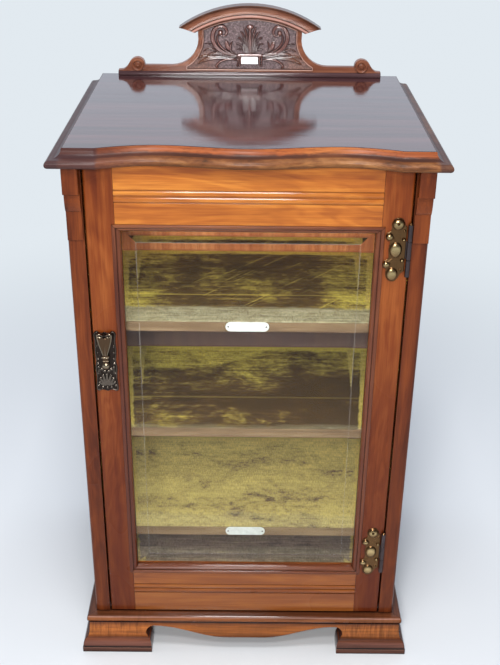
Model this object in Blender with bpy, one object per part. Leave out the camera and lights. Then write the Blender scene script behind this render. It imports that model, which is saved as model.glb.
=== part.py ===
"""Glazed sheet music cabinet: a velvet lined carcass with fixed shelves, one glazed door, a moulded
serpentine top with a carved upstand, and a moulded plinth on bracket feet.

Metres, +Z up. X runs to the right, Y to the back. The origin is on the floor, at the middle of the
cabinet's width and of its whole depth.
"""
import math

import bmesh
import bpy
from mathutils import Vector

# Clearances
SEAT_GAP = 0.0003
MITRE_GAP = 0.0006
CUT_OVERRUN = 0.004
WELD = 0.0006

# Carcass
BODY_WIDTH = 0.520
BODY_DEPTH = 0.420
BODY_HEIGHT = 0.816
PILASTER_WIDTH = 0.0245
PILASTER_ARRIS = 0.0055
SIDE_THICKNESS = 0.016
SIDE_SETBACK = 0.001
BOTTOM_THICKNESS = 0.0155
TOP_RAIL_THICKNESS = 0.016
TOP_RAIL_WIDTH = 0.060
BACK_THICKNESS = 0.008
BACK_INSET = 0.030
LINING_THICKNESS = 0.0018

# Corbels at the head of the pilasters
CORBEL_BLOCK_HEIGHT = 0.042
CORBEL_BLOCK_PROUD = 0.020
CORBEL_ROLL_HEIGHT = 0.030
CORBEL_ROLL_PROUD = 0.011
CORBEL_SLAB_HEIGHT = 0.044
CORBEL_SLAB_PROUD = 0.0035
CORBEL_MARGIN = 0.001

# Shelves
SHELF_THICKNESS = 0.0165
SHELF_SETBACK = 0.092
SHELF_NAMES = ("upper", "middle", "lower")
SHELF_HEIGHT_SHARES = (0.649, 0.393, 0.127)
BEARER_HEIGHT = 0.012
BEARER_WIDTH = 0.010
BEARER_SETBACK = 0.030
LABEL_WIDTH = 0.070
LABEL_HEIGHT = 0.0165
LABEL_THICKNESS = 0.0012
LABELLED_SHELVES = ("upper", "lower")

# Top board
TOP_THICKNESS = 0.0245
TOP_SIDE_OVERHANG = 0.0175
TOP_FRONT_OVERHANG = 0.040
TOP_NOSING = 0.012
TOP_NOSING_FILLET = 0.0015
TOP_MOULDING_WIDTH = 0.021
TOP_LIP = 0.0015
TOP_EAR_WIDTH = 0.069
TOP_HOLLOW_DEPTH = 0.018
TOP_HOLLOW_SHARE = 0.62
TOP_CENTRE_SETBACK = 0.004
TOP_STEPS = 11

# Upstand at the back of the top
UPSTAND_HALF_WIDTH = 0.2265
UPSTAND_THICKNESS = 0.012
UPSTAND_RAIL_HEIGHT = 0.017
UPSTAND_END_HEIGHT = 0.0085
SCROLL_RADIUS = 0.0125
SCROLL_INSET = 0.0335
SCROLL_RISE = 0.0175
ROSETTE_RADIUS = 0.0108
ROSETTE_PROUD = 0.0032
ROSETTE_SHARES = (
    (1.00, 0.0), (0.97, 0.75), (0.84, 1.0), (0.66, 0.80), (0.56, 0.30), (0.42, 0.45), (0.20, 0.95),
)
ROSETTE_SIDES = 18
SWEEP_RADIUS = 0.046
NECK_HALF_WIDTH = 0.088
ARCH_HALF_WIDTH = 0.120
ARCH_RISE = 0.0374
ARCH_HEIGHT = 0.1204
ARCH_BAND = 0.0225
ARCH_TIP_SLOPE = 20
ARCH_CROWN = 0.006
ARCH_DEPTH = 0.026
ARCH_FILLET = 0.0016
ARCH_COVE = 0.0139
ARCH_BEAD_PROUD = 0.0068
ARCH_STEPS = 20
PANEL_BORDER = 0.0095
PANEL_RECESS = 0.004
PANEL_BASE_HEIGHT = 0.0115
PANEL_TOP_DROP = 0.0262
PANEL_CLEARANCE = 0.0004
CARVING_PLATE = 0.0012
CARVING_RELIEF = 0.0048
CARVING_ROWS = 20
CARVING_COLUMNS = 48
SHELL_RAYS = 9
SHELL_HALF_WIDTH = 0.027
SHELL_TALL = 0.040
SHELL_BASE_HEIGHT = 0.044
SHELL_GROOVE_SHARE = 0.55
TABLET_HALF_WIDTH = 0.014
TABLET_HEIGHT = 0.015
TABLET_CENTRE_HEIGHT = 0.033
TABLET_RELIEF = 0.0052
SCROLL_LINE_X = 0.0444
SCROLL_LINE_HEIGHT = 0.060
SCROLL_LINE_RADIUS = 0.0185
SCROLL_LINE_WIDTH = 0.0042
SCROLL_LINE_REACH = 125
EYE_X = 0.0495
EYE_HEIGHT = 0.0695
EYE_RADIUS = 0.0065
BUD_X = 0.0385
BUD_HEIGHT = 0.0535
BUD_RADIUS = 0.0045
LEAF_X = 0.058
LEAF_HEIGHT = 0.029
LEAF_HALF_LENGTH = 0.034
LEAF_HALF_HEIGHT = 0.0085
LEAF_SLOPE_SHARE = 0.25
LEAF_RELIEF = 0.0036

# Plinth
PLINTH_HEIGHT = 0.074
PLINTH_PROJECTION = 0.024
PLINTH_BACKING = 0.012
PLINTH_BAND = 0.010
PLINTH_STEP = 0.0008
PLINTH_TORUS_HEIGHT = 0.017
PLINTH_TORUS_DEPTH = 0.0055
PLINTH_COVE_HEIGHT = 0.031
PLINTH_COVE_DEPTH = 0.006
PLINTH_GROOVE_HEIGHT = 0.003
PLINTH_GROOVE_DEPTH = 0.0014
PLINTH_BEAD_PROUD = 0.003
PLINTH_RAIL_THICKNESS = 0.018
PLINTH_RAIL_CLEAR = 0.022
FOOT_WIDTH = 0.1215
SIDE_FOOT_LENGTH = 0.110
FOOT_WAIST = 0.0105
FOOT_WAIST_HEIGHT = 0.035
APRON_ARCH_HEIGHT = 0.0505
APRON_ARCH_RUN = 0.004
APRON_DROP_HEIGHT = 0.0286
APRON_FLAT_SHARE = 0.22
APRON_STEPS = 8

# Door
DOOR_THICKNESS = 0.022
DOOR_SIDE_GAP = 0.002
DOOR_FOOT_GAP = 0.0025
DOOR_HEAD_GAP = 0.002
DOOR_STOP_GAP = 0.0008
DOOR_ARRIS = 0.0035
STILE_WIDTH = 0.0422
TOP_RAIL_HEIGHT = 0.0956
BOTTOM_RAIL_HEIGHT = 0.0883
REED_RADIUS = 0.0040
REED_QUIRK = 0.0013
REED_PROUD = 0.0012
TOP_REED_SHARE = 0.49
BOTTOM_REED_SHARE = 0.555
MOULDING_WIDTH = 0.008
MOULDING_DEPTH = 0.0117
MOULDING_SETBACK = 0.0004
MOULDING_OVERLAP = 0.0050
MOULDING_BEAD = 0.0057
MOULDING_BEAD_PROUD = 0.0021
MOULDING_QUIRK = 0.0011
MOULDING_QUIRK_DEPTH = 0.0016
MOULDING_LIP = 0.0022
GLASS_THICKNESS = 0.0045
GLASS_EDGE = 0.0025
GLASS_BEVEL = 0.0265
GLASS_CLEARANCE = 0.001
GLAZING_BEAD_WIDTH = 0.0075

# Hinges
HINGE_HEIGHT = 0.100
HINGE_UPPER_DROP = 0.1257
HINGE_LOWER_RISE = 0.1336
HINGE_PLATE_WIDTH = 0.031
HINGE_PLATE_THICKNESS = 0.0018
HINGE_PLATE_RIM = 0.0006
KNUCKLE_RADIUS = 0.0035
KNUCKLE_FORWARD = 0.0042
KNUCKLE_BORE = 0.0018
KNUCKLE_SHARES = (0.10, 0.36, 0.64, 0.90)
KNUCKLE_SIDES = 16
PLATE_CLEARANCE = 0.0009
LEAF_THICKNESS = 0.0011
LEAF_DEPTH = 0.016
PIN_CLEARANCE = 0.0002
PIN_HEAD_RADIUS = 0.0028
PIN_HEAD_HEIGHT = 0.0022
HINGE_OUTLINE_SHARES = (
    (0.00, 0.00), (0.35, 0.015), (0.52, 0.09), (0.46, 0.16), (0.80, 0.215), (0.98, 0.30),
    (0.74, 0.37), (0.80, 0.44), (0.95, 0.50), (0.80, 0.56), (0.74, 0.63), (0.98, 0.70),
    (0.80, 0.785), (0.46, 0.84), (0.52, 0.91), (0.35, 0.985), (0.00, 1.00),
)
HINGE_BOSS_SHARES = (
    (0.30, 0.90, 0.16), (0.30, 0.10, 0.16), (0.74, 0.70, 0.15), (0.74, 0.30, 0.15), (0.48, 0.50, 0.24),
)
BOSS_RELIEF = 0.0021

# Handle and lock
HANDLE_WIDTH = 0.034
HANDLE_HEIGHT = 0.104
HANDLE_THICKNESS = 0.0016
HANDLE_EDGE_MARGIN = 0.0012
HANDLE_RISE = 0.4975
HANDLE_RIM = 0.0007
HANDLE_OUTLINE_SHARES = (
    (0.00, 0.00), (0.45, 0.0225), (0.85, 0.00), (1.00, 0.05), (0.93, 0.25), (1.00, 0.39), (0.90, 0.50),
    (0.97, 0.675), (0.93, 0.85), (1.00, 0.95), (0.72, 1.00), (0.35, 0.965), (0.00, 0.985),
)
DROP_PIVOT_BELOW_TOP = 0.0055
DROP_FORWARD = 0.0072
DROP_THICKNESS = 0.0042
DROP_ROUNDING = 0.0012
DROP_LENGTH = 0.052
DROP_HALF_WIDTH = 0.0122
DROP_BOSS_RADIUS = 0.0056
DROP_OUTLINE_SHARES = (
    (0.00, -0.045), (0.42, -0.07), (0.88, -0.06), (1.00, 0.04), (0.82, 0.24), (0.52, 0.46),
    (0.33, 0.62), (0.44, 0.665), (0.33, 0.71), (0.36, 0.80), (0.30, 0.90), (0.00, 0.95),
)
LUG_WIDTH = 0.0034
LUG_RADIUS = 0.0030
LUG_CLEARANCE = 0.0004
FORK_DEPTH = 0.0015
DROP_PIN_RADIUS = 0.0011
DROP_PIN_REACH = 0.0095
DROP_PIN_CLEARANCE = 0.0003
LEAF_BOSS_RADIUS = 0.0085
LEAF_BOSS_HEIGHT = 0.024
LEAF_BOSS_RISE = 0.019
STUD_RADIUS = 0.0034
STUD_RISE = 0.040
STUD_RELIEF = 0.0014
KEYHOLE_RADIUS = 0.0024
KEYHOLE_SLOT = 0.008
KEYHOLE_SLOT_WIDTH = 0.0026
LOCK_WIDTH = 0.028
LOCK_HEIGHT = 0.052
LOCK_DEPTH = 0.010
LOCK_INSET = 0.0045
BOLT_HEIGHT = 0.014
BOLT_THICKNESS = 0.005
BOLT_CLEARANCE = 0.0005
BOLT_LENGTH = 0.022

# Worked out planes and levels
FRONT_Y = (TOP_FRONT_OVERHANG - BODY_DEPTH) / 2
BACK_Y = FRONT_Y + BODY_DEPTH
BODY_HALF = BODY_WIDTH / 2
BODY_TOP_Z = PLINTH_HEIGHT + BODY_HEIGHT
TOP_Z = BODY_TOP_Z + TOP_THICKNESS
PILASTER_DEPTH = DOOR_THICKNESS + DOOR_STOP_GAP
OPENING_HALF = BODY_HALF - PILASTER_WIDTH
INSIDE_HALF = BODY_HALF - SIDE_SETBACK - SIDE_THICKNESS
LINED_HALF = INSIDE_HALF - SEAT_GAP - LINING_THICKNESS
CARCASS_FRONT_Y = FRONT_Y + PILASTER_DEPTH + SEAT_GAP
BACK_PANEL_Y = BACK_Y - BACK_INSET - BACK_THICKNESS
SHELF_FRONT_Y = FRONT_Y + SHELF_SETBACK
FLOOR_Z = PLINTH_HEIGHT + SEAT_GAP + BOTTOM_THICKNESS
CEILING_Z = BODY_TOP_Z - SEAT_GAP - TOP_RAIL_THICKNESS
DOOR_HALF = OPENING_HALF - DOOR_SIDE_GAP
DOOR_BASE_Z = PLINTH_HEIGHT + DOOR_FOOT_GAP
DOOR_TOP_Z = BODY_TOP_Z - DOOR_HEAD_GAP
STILE_INNER = DOOR_HALF - STILE_WIDTH
LIGHT_BASE_Z = DOOR_BASE_Z + BOTTOM_RAIL_HEIGHT
LIGHT_TOP_Z = DOOR_TOP_Z - TOP_RAIL_HEIGHT
LIGHT_HALF_HEIGHT = (LIGHT_TOP_Z - LIGHT_BASE_Z) / 2
LIGHT_CENTRE_Z = (LIGHT_TOP_Z + LIGHT_BASE_Z) / 2
GLASS_FRONT_Y = FRONT_Y + MOULDING_DEPTH + SEAT_GAP
DOOR_BACK_Y = FRONT_Y + DOOR_THICKNESS
HINGE_X = OPENING_HALF - SEAT_GAP - KNUCKLE_RADIUS
HINGE_Y = FRONT_Y - KNUCKLE_FORWARD
HINGE_BASES = {
    "upper": DOOR_TOP_Z - HINGE_UPPER_DROP - HINGE_HEIGHT / 2,
    "lower": DOOR_BASE_Z + HINGE_LOWER_RISE - HINGE_HEIGHT / 2,
}
HANDLE_X = -DOOR_HALF + HANDLE_EDGE_MARGIN + HANDLE_WIDTH / 2
HANDLE_Z = DOOR_BASE_Z + HANDLE_RISE
HANDLE_FACE_Y = FRONT_Y - SEAT_GAP - HANDLE_THICKNESS
DROP_PIVOT_Y = FRONT_Y - DROP_FORWARD
DROP_PIVOT_Z = HANDLE_Z + HANDLE_HEIGHT / 2 - DROP_PIVOT_BELOW_TOP
ARCH_RADIUS = (ARCH_HALF_WIDTH ** 2 + ARCH_RISE ** 2) / (2 * ARCH_RISE)
ARCH_CENTRE_Z = TOP_Z + ARCH_HEIGHT - ARCH_RADIUS
UPSTAND_FRONT_Y = BACK_Y - UPSTAND_THICKNESS


def make_material(name, colour, roughness, metallic=0.0, alpha=1.0):
    """A plain Principled material."""
    material = bpy.data.materials.new(name)
    material.use_nodes = True
    shader = material.node_tree.nodes["Principled BSDF"]
    shader.inputs["Base Color"].default_value = (*colour, 1.0)
    shader.inputs["Roughness"].default_value = roughness
    shader.inputs["Metallic"].default_value = metallic
    shader.inputs["Alpha"].default_value = alpha
    material.diffuse_color = (*colour, alpha)
    return material


WALNUT = make_material("walnut", (0.33, 0.105, 0.032), 0.28)
DARK_WALNUT = make_material("dark_walnut", (0.11, 0.030, 0.016), 0.22)
CARVED_WALNUT = make_material("carved_walnut", (0.13, 0.045, 0.022), 0.40)
INSIDE_WOOD = make_material("inside_wood", (0.30, 0.13, 0.06), 0.55)
VELVET = make_material("velvet", (0.24, 0.20, 0.035), 0.90)
GLASS = make_material("bevelled_glass", (0.92, 0.96, 0.94), 0.03, alpha=0.3)
BRASS = make_material("brass", (0.72, 0.52, 0.22), 0.25, 1.0)
OLD_BRASS = make_material("old_brass", (0.30, 0.23, 0.13), 0.38, 1.0)
STEEL = make_material("steel", (0.45, 0.45, 0.46), 0.35, 1.0)
LABEL_WHITE = make_material("label_white", (0.80, 0.80, 0.76), 0.35)


def link_mesh(name, mesh, material, smooth):
    """Puts a finished mesh in the scene, shaded smooth up to the given angle in degrees."""
    mesh.materials.append(material)
    if smooth:
        mesh.shade_smooth()
        mesh.set_sharp_from_angle(angle=math.radians(smooth))
    obj = bpy.data.objects.new(name, mesh)
    bpy.context.scene.collection.objects.link(obj)
    return obj


def mesh_object(name, rings, material, ends=True, loop=False, smooth=0):
    """A closed solid lofted through rings of points. Its ends are capped, or the rings form a loop."""
    model = bmesh.new()
    placed = [[model.verts.new(point) for point in ring] for ring in rings]
    pairs = list(zip(placed, placed[1:]))
    if loop:
        pairs.append((placed[-1], placed[0]))
    for lower, upper in pairs:
        for index in range(len(lower)):
            following = (index + 1) % len(lower)
            model.faces.new((lower[index], lower[following], upper[following], upper[index]))
    if ends and not loop:
        model.faces.new(placed[0])
        model.faces.new(placed[-1])
    bmesh.ops.recalc_face_normals(model, faces=model.faces)
    mesh = bpy.data.meshes.new(name)
    model.to_mesh(mesh)
    model.free()
    return link_mesh(name, mesh, material, smooth)


def prism(name, outline, axis, start, end, material, smooth=0):
    """A flat outline drawn out along one axis. The outline holds the other two axes' places in order."""
    def placed(point, along):
        values = list(point)
        values.insert("XYZ".index(axis), along)
        return values
    rings = [[placed(point, along) for point in outline] for along in (start, end)]
    return mesh_object(name, rings, material, smooth=smooth)


def box(name, low, high, material):
    """A plain board between its lowest and highest corners."""
    outline = [(low[0], low[1]), (high[0], low[1]), (high[0], high[1]), (low[0], high[1])]
    return prism(name, outline, "Z", low[2], high[2], material)


def arc(centre, radii, start, end, steps):
    """Points along an arc of an ellipse, angles in degrees."""
    angles = [math.radians(start + (end - start) * step / steps) for step in range(steps + 1)]
    return [(centre[0] + radii[0] * math.cos(a), centre[1] + radii[1] * math.sin(a)) for a in angles]


def spline(points, steps):
    """A smooth open curve through the given points."""
    padded = [points[0], *points, points[-1]]
    curve = []
    for index in range(1, len(padded) - 2):
        before, start, end, after = (Vector(padded[index + shift]) for shift in (-1, 0, 1, 2))
        for step in range(steps):
            t = step / steps
            lead = (end - before) * (t - 2 * t ** 2 + t ** 3) / 2
            tail = (after - start) * (t ** 3 - t ** 2) / 2
            blend = 3 * t ** 2 - 2 * t ** 3
            curve.append(tuple(start * (1 - blend) + end * blend + lead + tail))
    curve.append(tuple(points[-1]))
    return curve


def hide_tool(tool):
    """A cutter or a fused piece stays out of the model."""
    tool.hide_render = True
    tool.display_type = "WIRE"


def combine(target, tool, operation):
    """Cuts the tool from the target, or fuses it with the target."""
    hide_tool(tool)
    modifier = target.modifiers.new(tool.name, "BOOLEAN")
    modifier.operation = operation
    modifier.object = tool


def dome(name, centre, radii, material, segments=12, rings=6):
    """A swelling with its own radius along each axis, for a boss that is fused with a plate."""
    model = bmesh.new()
    bmesh.ops.create_uvsphere(model, u_segments=segments, v_segments=rings, radius=1.0)
    for vert in model.verts:
        vert.co = Vector(centre) + Vector(a * b for a, b in zip(vert.co, radii))
    mesh = bpy.data.meshes.new(name)
    model.to_mesh(mesh)
    model.free()
    return link_mesh(name, mesh, material, 60)


def rod(name, axis, centre, radius, start, end, material, sides=KNUCKLE_SIDES):
    """A round rod along one axis; centre holds its place across the other two."""
    outline = arc(centre, (radius, radius), 0, 360, sides)[:-1]
    return prism(name, outline, axis, start, end, material, smooth=40)


def tube(name, centre, outer, bore, start, end, material):
    """An upright tube, open from end to end."""
    rings = []
    for radius, height in ((bore, start), (outer, start), (outer, end), (bore, end)):
        ring = arc(centre, (radius, radius), 0, 360, KNUCKLE_SIDES)[:-1]
        rings.append([(x, y, height) for x, y in ring])
    return mesh_object(name, rings, material, loop=True, smooth=40)


def mirrored(outline, side):
    """The outline as drawn for the right side, or turned over for the left."""
    return [(side * point[0], *point[1:]) for point in outline]


SIDES = {"left": -1, "right": 1}


def build_carcass():
    """The boards of the case, from the sides to the back."""
    base_z = PLINTH_HEIGHT + SEAT_GAP
    head_z = BODY_TOP_Z - SEAT_GAP
    for label, side in SIDES.items():
        outer = side * (BODY_HALF - SIDE_SETBACK)
        inner = side * INSIDE_HALF
        box("side_panel_" + label, (min(outer, inner), CARCASS_FRONT_Y, base_z),
            (max(outer, inner), BACK_Y, head_z), DARK_WALNUT)
        lining = sorted((side * (INSIDE_HALF - SEAT_GAP), side * LINED_HALF))
        box("side_lining_" + label, (lining[0], CARCASS_FRONT_Y, FLOOR_Z + SEAT_GAP),
            (lining[1], BACK_PANEL_Y - SEAT_GAP, CEILING_Z - SEAT_GAP), VELVET)
    across = INSIDE_HALF - SEAT_GAP
    board_back = BACK_PANEL_Y - SEAT_GAP
    box("bottom_board", (-across, CARCASS_FRONT_Y, base_z), (across, BACK_Y, FLOOR_Z), INSIDE_WOOD)
    box("back_panel", (-across, BACK_PANEL_Y, FLOOR_Z + SEAT_GAP),
        (across, BACK_PANEL_Y + BACK_THICKNESS, head_z), INSIDE_WOOD)
    box("top_rail_front", (-across, CARCASS_FRONT_Y, CEILING_Z),
        (across, CARCASS_FRONT_Y + TOP_RAIL_WIDTH, head_z), INSIDE_WOOD)
    box("top_rail_back", (-across, board_back - TOP_RAIL_WIDTH, CEILING_Z),
        (across, board_back, head_z), INSIDE_WOOD)
    lined = LINED_HALF - SEAT_GAP
    box("floor_lining", (-lined, SHELF_FRONT_Y, FLOOR_Z + SEAT_GAP),
        (lined, board_back, FLOOR_Z + SEAT_GAP + LINING_THICKNESS), VELVET)


def build_pilasters():
    """The two posts at the front, rounded at their outer arris, each with a carved corbel."""
    base_z = PLINTH_HEIGHT + SEAT_GAP
    head_z = BODY_TOP_Z - SEAT_GAP
    for label, side in SIDES.items():
        round_centre = (BODY_HALF - PILASTER_ARRIS, FRONT_Y + PILASTER_ARRIS)
        outline = arc(round_centre, (PILASTER_ARRIS, PILASTER_ARRIS), -90, 0, 5)
        outline += [(BODY_HALF, FRONT_Y + PILASTER_DEPTH), (OPENING_HALF, FRONT_Y + PILASTER_DEPTH)]
        outline.append((OPENING_HALF, FRONT_Y))
        prism("pilaster_" + label, mirrored(outline, side), "Z", base_z, head_z, DARK_WALNUT, smooth=40)

        block_z = head_z - CORBEL_BLOCK_HEIGHT
        roll_z = block_z - CORBEL_ROLL_HEIGHT
        face = FRONT_Y - SEAT_GAP
        roll_depth = CORBEL_ROLL_PROUD - CORBEL_SLAB_PROUD
        side_view = [(face, head_z), (face - CORBEL_BLOCK_PROUD, head_z)]
        side_view.append((face - CORBEL_BLOCK_PROUD, block_z))
        side_view += arc((face - CORBEL_SLAB_PROUD, block_z), (roll_depth, CORBEL_ROLL_HEIGHT), 180, 270, 6)
        side_view.append((face - CORBEL_SLAB_PROUD, roll_z - CORBEL_SLAB_HEIGHT))
        side_view.append((face, roll_z - CORBEL_SLAB_HEIGHT))
        reach = sorted((side * (OPENING_HALF + CORBEL_MARGIN), side * (BODY_HALF - CORBEL_MARGIN)))
        prism("corbel_" + label, side_view, "X", reach[0], reach[1], DARK_WALNUT, smooth=40)


def shelf_top(name):
    """The height of a shelf's lined top."""
    return FLOOR_Z + (CEILING_Z - FLOOR_Z) * SHELF_HEIGHT_SHARES[SHELF_NAMES.index(name)]


def build_shelves():
    """Three fixed shelves on bearers, each with a velvet top, two with a label on the front edge."""
    half = LINED_HALF - SEAT_GAP
    back = BACK_PANEL_Y - SEAT_GAP
    for name in SHELF_NAMES:
        top = shelf_top(name) - LINING_THICKNESS - SEAT_GAP
        under = top - SHELF_THICKNESS
        box("shelf_" + name, (-half, SHELF_FRONT_Y, under), (half, back, top), INSIDE_WOOD)
        box("shelf_lining_" + name, (-half, SHELF_FRONT_Y, top + SEAT_GAP),
            (half, back, shelf_top(name)), VELVET)
        for label, side in SIDES.items():
            reach = sorted((side * half, side * (half - BEARER_WIDTH)))
            box("shelf_bearer_" + name + "_" + label,
                (reach[0], SHELF_FRONT_Y + BEARER_SETBACK, under - SEAT_GAP - BEARER_HEIGHT),
                (reach[1], back, under - SEAT_GAP), INSIDE_WOOD)
    for name in LABELLED_SHELVES:
        middle = shelf_top(name) - (SHELF_THICKNESS + LINING_THICKNESS) / 2
        end_radius = LABEL_HEIGHT / 2
        end_x = LABEL_WIDTH / 2 - end_radius
        outline = arc((end_x, middle), (end_radius, end_radius), -90, 90, 8)
        outline += arc((-end_x, middle), (end_radius, end_radius), 90, 270, 8)
        face = SHELF_FRONT_Y - SEAT_GAP
        prism("label_" + name, outline, "Y", face - LABEL_THICKNESS, face, LABEL_WHITE, smooth=40)


def serpentine_setback(x):
    """How far the top's front edge lies behind its corner line at the place x."""
    ear = BODY_HALF + TOP_SIDE_OVERHANG - TOP_EAR_WIDTH
    hollow = ear * TOP_HOLLOW_SHARE
    reach = abs(x)
    if reach >= ear:
        return 0
    if reach >= hollow:
        return TOP_HOLLOW_DEPTH * math.sin((ear - reach) / (ear - hollow) * math.pi / 2)
    swell = (1 - math.cos(math.pi * reach / hollow)) / 2
    return TOP_CENTRE_SETBACK + (TOP_HOLLOW_DEPTH - TOP_CENTRE_SETBACK) * swell


def top_edge_path():
    """The top's moulded edge in plan, from the back left corner round the front to the back right."""
    half = BODY_HALF + TOP_SIDE_OVERHANG
    ear = half - TOP_EAR_WIDTH
    front = FRONT_Y - TOP_FRONT_OVERHANG
    places = [ear * step / TOP_STEPS for step in range(-TOP_STEPS, TOP_STEPS + 1)]
    path = [(-half, BACK_Y), (-half, front)]
    path += [(x, front + serpentine_setback(x)) for x in places]
    path += [(half, front), (half, BACK_Y)]
    return [Vector(point) for point in path]


def inset_path(path, inset):
    """The path moved towards its inside, mitred at each corner, its two ends kept on the back line."""
    moved = []
    for index, point in enumerate(path):
        if index == 0:
            moved.append(point + Vector((inset, 0)))
        elif index == len(path) - 1:
            moved.append(point - Vector((inset, 0)))
        else:
            before = (point - path[index - 1]).normalized()
            after = (path[index + 1] - point).normalized()
            normal = Vector((-before.y, before.x))
            mitre = (normal + Vector((-after.y, after.x))).normalized()
            moved.append(point + mitre * (inset / mitre.dot(normal)))
    return moved


def top_profile():
    """The top's edge in section as inset and height: a nosing, a fillet, a cove and a lip."""
    radius = TOP_NOSING / 2
    profile = arc((radius, radius), (-radius, radius), -90, 90, 6)
    cove_width = TOP_MOULDING_WIDTH - radius - TOP_NOSING_FILLET
    cove_height = TOP_THICKNESS - TOP_NOSING - TOP_LIP
    cove = arc((0, TOP_THICKNESS - TOP_LIP), (cove_width, cove_height), -90, 0, 5)
    profile += [(radius + TOP_NOSING_FILLET + x, z) for x, z in cove]
    profile.append((TOP_MOULDING_WIDTH + TOP_LIP, TOP_THICKNESS))
    return profile


def build_top():
    """The serpentine top board with its moulding mitred round the front and sides."""
    path = top_edge_path()
    rings = []
    for inset, height in top_profile():
        rings.append([(x, y, BODY_TOP_Z + height) for x, y in inset_path(path, inset)])
    mesh_object("top_board", rings, DARK_WALNUT, smooth=35)


def upstand_outline():
    """The right half of the upstand in front view, from the middle of its base to the neck."""
    base_z = TOP_Z + SEAT_GAP
    rail_z = base_z + UPSTAND_RAIL_HEIGHT
    scroll = (UPSTAND_HALF_WIDTH - SCROLL_INSET, base_z + SCROLL_RISE)
    end_z = base_z + UPSTAND_END_HEIGHT
    outline = [(UPSTAND_HALF_WIDTH, base_z), (UPSTAND_HALF_WIDTH, end_z)]
    flare_top = scroll[1] - end_z
    outline += arc((UPSTAND_HALF_WIDTH, scroll[1]), (SCROLL_INSET - SCROLL_RADIUS, flare_top), -100, -170, 4)
    outline += arc(scroll, (SCROLL_RADIUS, SCROLL_RADIUS), 12, 176, 8)
    outline.append((scroll[0] - SCROLL_RADIUS, rail_z))
    sweep_x = NECK_HALF_WIDTH + SWEEP_RADIUS
    outline += arc((sweep_x, rail_z + SWEEP_RADIUS), (SWEEP_RADIUS, SWEEP_RADIUS), 270, 172, 9)
    return outline


def arch_points(radius, half_width, steps):
    """Points of a circle about the arch's centre, from right to left between two places."""
    end = math.degrees(math.asin(half_width / radius))
    return arc((0, ARCH_CENTRE_Z), (radius, radius), 90 - end, 90 + end, steps)


def panel_outline(margin):
    """The sunk field behind the carving, set in from its border by a margin."""
    base = TOP_Z + SEAT_GAP + PANEL_BASE_HEIGHT + margin
    crown = ARCH_RADIUS - PANEL_TOP_DROP - margin
    rail_z = TOP_Z + SEAT_GAP + UPSTAND_RAIL_HEIGHT
    radius = SWEEP_RADIUS + PANEL_BORDER + margin
    centre = (NECK_HALF_WIDTH + SWEEP_RADIUS, rail_z + SWEEP_RADIUS)
    sweep = arc(centre, (radius, radius), 242, 174, 6)
    right = [(sweep[0][0], base), *sweep]
    crown_points = arch_points(crown, right[-1][0], 10)
    left = [(-x, z) for x, z in reversed(right)]
    return right[:-1] + crown_points + left[1:]


def rosette(name, x, z):
    """The turned face of a scroll: a rim, a hollow and a button, fused with the board behind it."""
    root = UPSTAND_FRONT_Y + WELD
    rings = []
    for reach, rise in ROSETTE_SHARES:
        radius = reach * ROSETTE_RADIUS
        y = UPSTAND_FRONT_Y - rise * ROSETTE_PROUD if rise else root
        rings.append([(px, y, pz) for px, pz in arc((x, z), (radius, radius), 0, 360, ROSETTE_SIDES)[:-1]])
    return mesh_object(name, rings, WALNUT, smooth=50)


def build_upstand():
    """The upstand board, its sunk carved panel and the moulded arch that caps it."""
    right = upstand_outline()
    crown = arch_points(ARCH_RADIUS - ARCH_CROWN - SEAT_GAP, right[-1][0], 12)
    left = [(-x, z) for x, z in reversed(right)]
    board = prism("upstand_board", right + crown + left, "Y", UPSTAND_FRONT_Y, BACK_Y, WALNUT, smooth=40)
    field = prism("upstand_field_cutter", panel_outline(0), "Y", UPSTAND_FRONT_Y - CUT_OVERRUN,
                  UPSTAND_FRONT_Y + PANEL_RECESS, WALNUT)
    combine(board, field, "DIFFERENCE")
    for label, side in SIDES.items():
        eye_x = side * (UPSTAND_HALF_WIDTH - SCROLL_INSET)
        combine(board, rosette("scroll_rosette_" + label, eye_x, TOP_Z + SEAT_GAP + SCROLL_RISE), "UNION")
    build_carving()
    build_arch()


def ridge(distance, half_width, height):
    """A rounded ridge: its full height on its own line, and nothing beyond its half width."""
    return height * math.sqrt(max(0, 1 - (distance / half_width) ** 2))


def scroll_distance(x, z):
    """The distance from the middle line of a C scroll that opens towards the middle."""
    away = Vector((x - SCROLL_LINE_X, z - SCROLL_LINE_HEIGHT))
    angle = math.degrees(math.atan2(away.y, away.x))
    if abs(angle) < SCROLL_LINE_REACH:
        return abs(away.length - SCROLL_LINE_RADIUS)
    tip = math.radians(math.copysign(SCROLL_LINE_REACH, angle))
    return (away - SCROLL_LINE_RADIUS * Vector((math.cos(tip), math.sin(tip)))).length


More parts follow.
